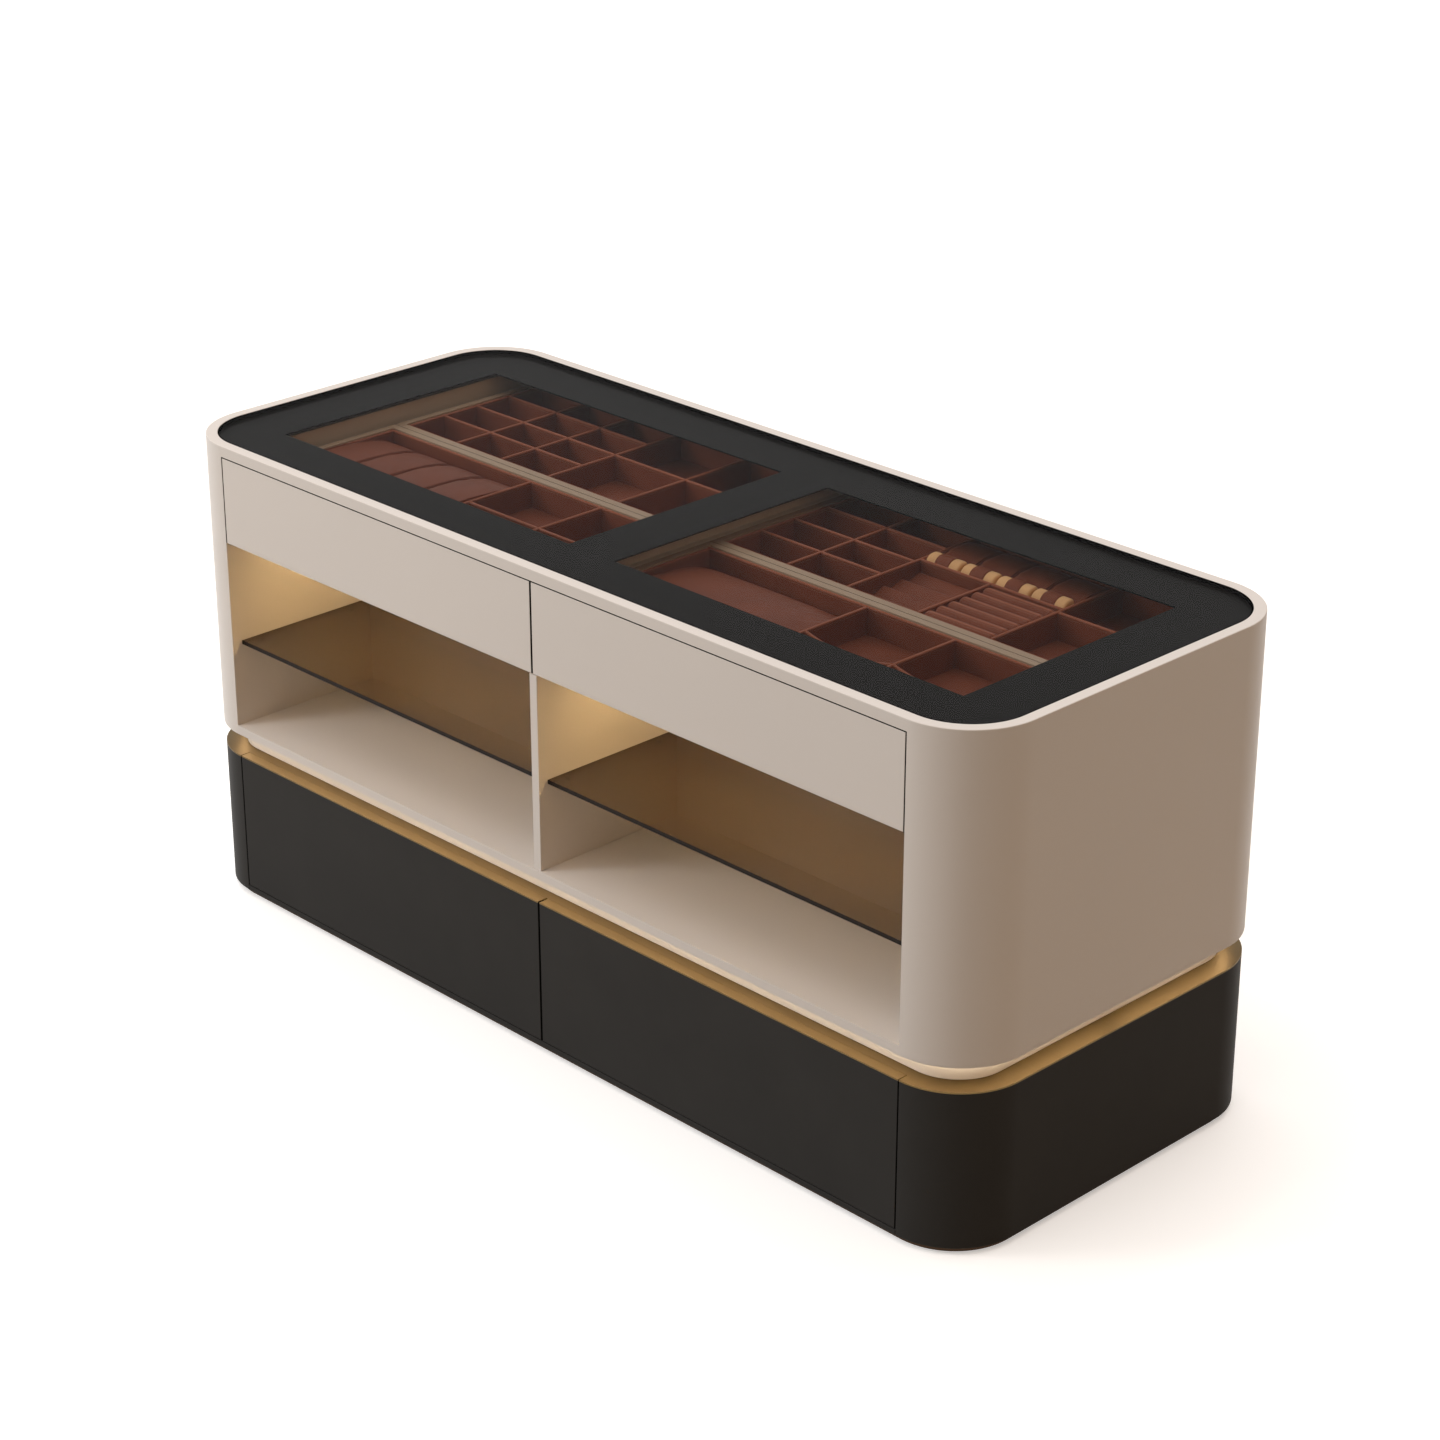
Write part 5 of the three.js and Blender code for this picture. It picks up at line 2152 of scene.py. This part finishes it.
@dataclass
class Studio:
    """Camera, floor and light.

    Attributes:
        floor_colour: The floor as the island sees it.
        floor_white: The floor as the camera sees it, where it takes the shadow.
        floor_lift: The light that the floor adds there, so that it looks as white as the backdrop.
    """

    lens: float = 84.364
    sensor: float = 36.0
    place: Colour = (4.000, -3.852, 3.0065)
    tilt: Colour = (65.944, 0.0, 45.735)
    floor_size: float = 60.0
    floor_colour: Colour = (0.23, 0.20, 0.16)
    floor_white: Colour = (0.9, 0.9, 0.9)
    floor_lift: float = 0.42
    lamp_power: float = 86.0
    lamp_size: float = 1.8
    lamp_colour: Colour = (1.0, 0.985, 0.965)
    lamp_place: Colour = (-3.0, -4.2, 3.0)
    lamp_aim: Colour = (0.0, 0.0, 0.55)
    high_near: Colour = (1.73, 1.71, 1.69)
    high_far: Colour = (0.71, 0.415, 0.18)
    low_near: Colour = (0.13, 0.133, 0.136)
    low_far: Colour = (0.07, 0.03, 0.0)
    ends: Span = (0.45, 0.8)

    def build(self) -> None:
        """Makes the whole studio."""
        self.camera()
        self.floor()
        self.sky()
        self.lamp()

    def camera(self) -> None:
        """The camera at the photograph's viewing angle, for a square picture."""
        data = bpy.data.cameras.new("camera")
        data.lens, data.sensor_width, data.sensor_fit = self.lens, self.sensor, "HORIZONTAL"
        made = linked("camera", data)
        made.location = self.place
        made.rotation_euler = [math.radians(angle) for angle in self.tilt]
        bpy.context.scene.camera = made

    def floor(self) -> None:
        """A wide pale floor that takes the island's shadow."""
        half = self.floor_size / 2
        corners = level_ring(np.array(rectangle((-half, half), (-half, half))), 0.0)
        made = new_object("studio_floor", corners, [[0, 1, 2, 3]])
        material, graph = new_material("studio_floor")
        plain = graph.node("ShaderNodeBsdfDiffuse", {}, {"Color": self.floor_colour})
        bright = graph.node("ShaderNodeBsdfDiffuse", {}, {"Color": self.floor_white})
        lift = graph.node("ShaderNodeEmission", {}, {"Color": WHITE, "Strength": self.floor_lift})
        white = graph.node("ShaderNodeAddShader", {}, {0: bright, 1: lift})
        mixed = graph.node("ShaderNodeMixShader", {}, {0: graph.looked_at(), 1: plain, 2: white})
        graph.node("ShaderNodeOutputMaterial", {}, {"Surface": mixed})
        made.data.materials.append(material)

    def sky(self) -> None:
        """Soft light from all round, brightest above and warm low down on the right.

        The share of the zenith's light is the direction's height. Where it shows, the backdrop is white.
        """
        world = bpy.data.worlds.new("studio")
        world.use_nodes = True
        bpy.context.scene.world = world
        graph = Graph(world.node_tree)
        across, _, up = graph.parts(graph.node("ShaderNodeTexCoord", output="Generated"))
        place = across * 0.5 + 0.5
        low, high = (
            graph.ramp(place, list(zip(self.ends, colours)))
            for colours in ((self.low_near, self.low_far), (self.high_near, self.high_far))
        )
        whole = graph.mix(graph.ramp(up, [(0.0, shade(WHITE, 0.0)), (1.0, WHITE)]), low, high)
        light = graph.node("ShaderNodeBackground", {}, {"Color": whole, "Strength": 1.0})
        white = graph.node("ShaderNodeBackground", {}, {"Color": WHITE, "Strength": 1.0})
        mixed = graph.node("ShaderNodeMixShader", {}, {0: graph.looked_at(), 1: light, 2: white})
        graph.node("ShaderNodeOutputWorld", {}, {"Surface": mixed})

    def lamp(self) -> None:
        """One broad soft lamp at the front left."""
        data = bpy.data.lights.new("key", "AREA")
        data.shape, data.size, data.energy = "DISK", self.lamp_size, self.lamp_power
        data.color = self.lamp_colour
        made = linked("key", data)
        made.location = self.lamp_place
        aim = Vector(self.lamp_place) - Vector(self.lamp_aim)
        made.rotation_euler = aim.to_track_quat("Z", "Y").to_euler()


def main() -> None:
    """Builds the studio and the island, piece by piece."""
    logging.basicConfig(level=logging.INFO, format="%(name)s: %(message)s")
    bpy.context.scene.view_settings.view_transform = "Standard"
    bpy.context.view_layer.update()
    Studio().build()
    shop = Workshop()
    for part in (UpperCase, GlassTop, Niches, Base, Seals):
        part(shop).build()
    for side, hand in product(Side, Hand):
        LowerDrawer(shop, side, hand).build()
        UpperDrawer(shop, side, hand).build()


if __name__ == "__main__":
    main()
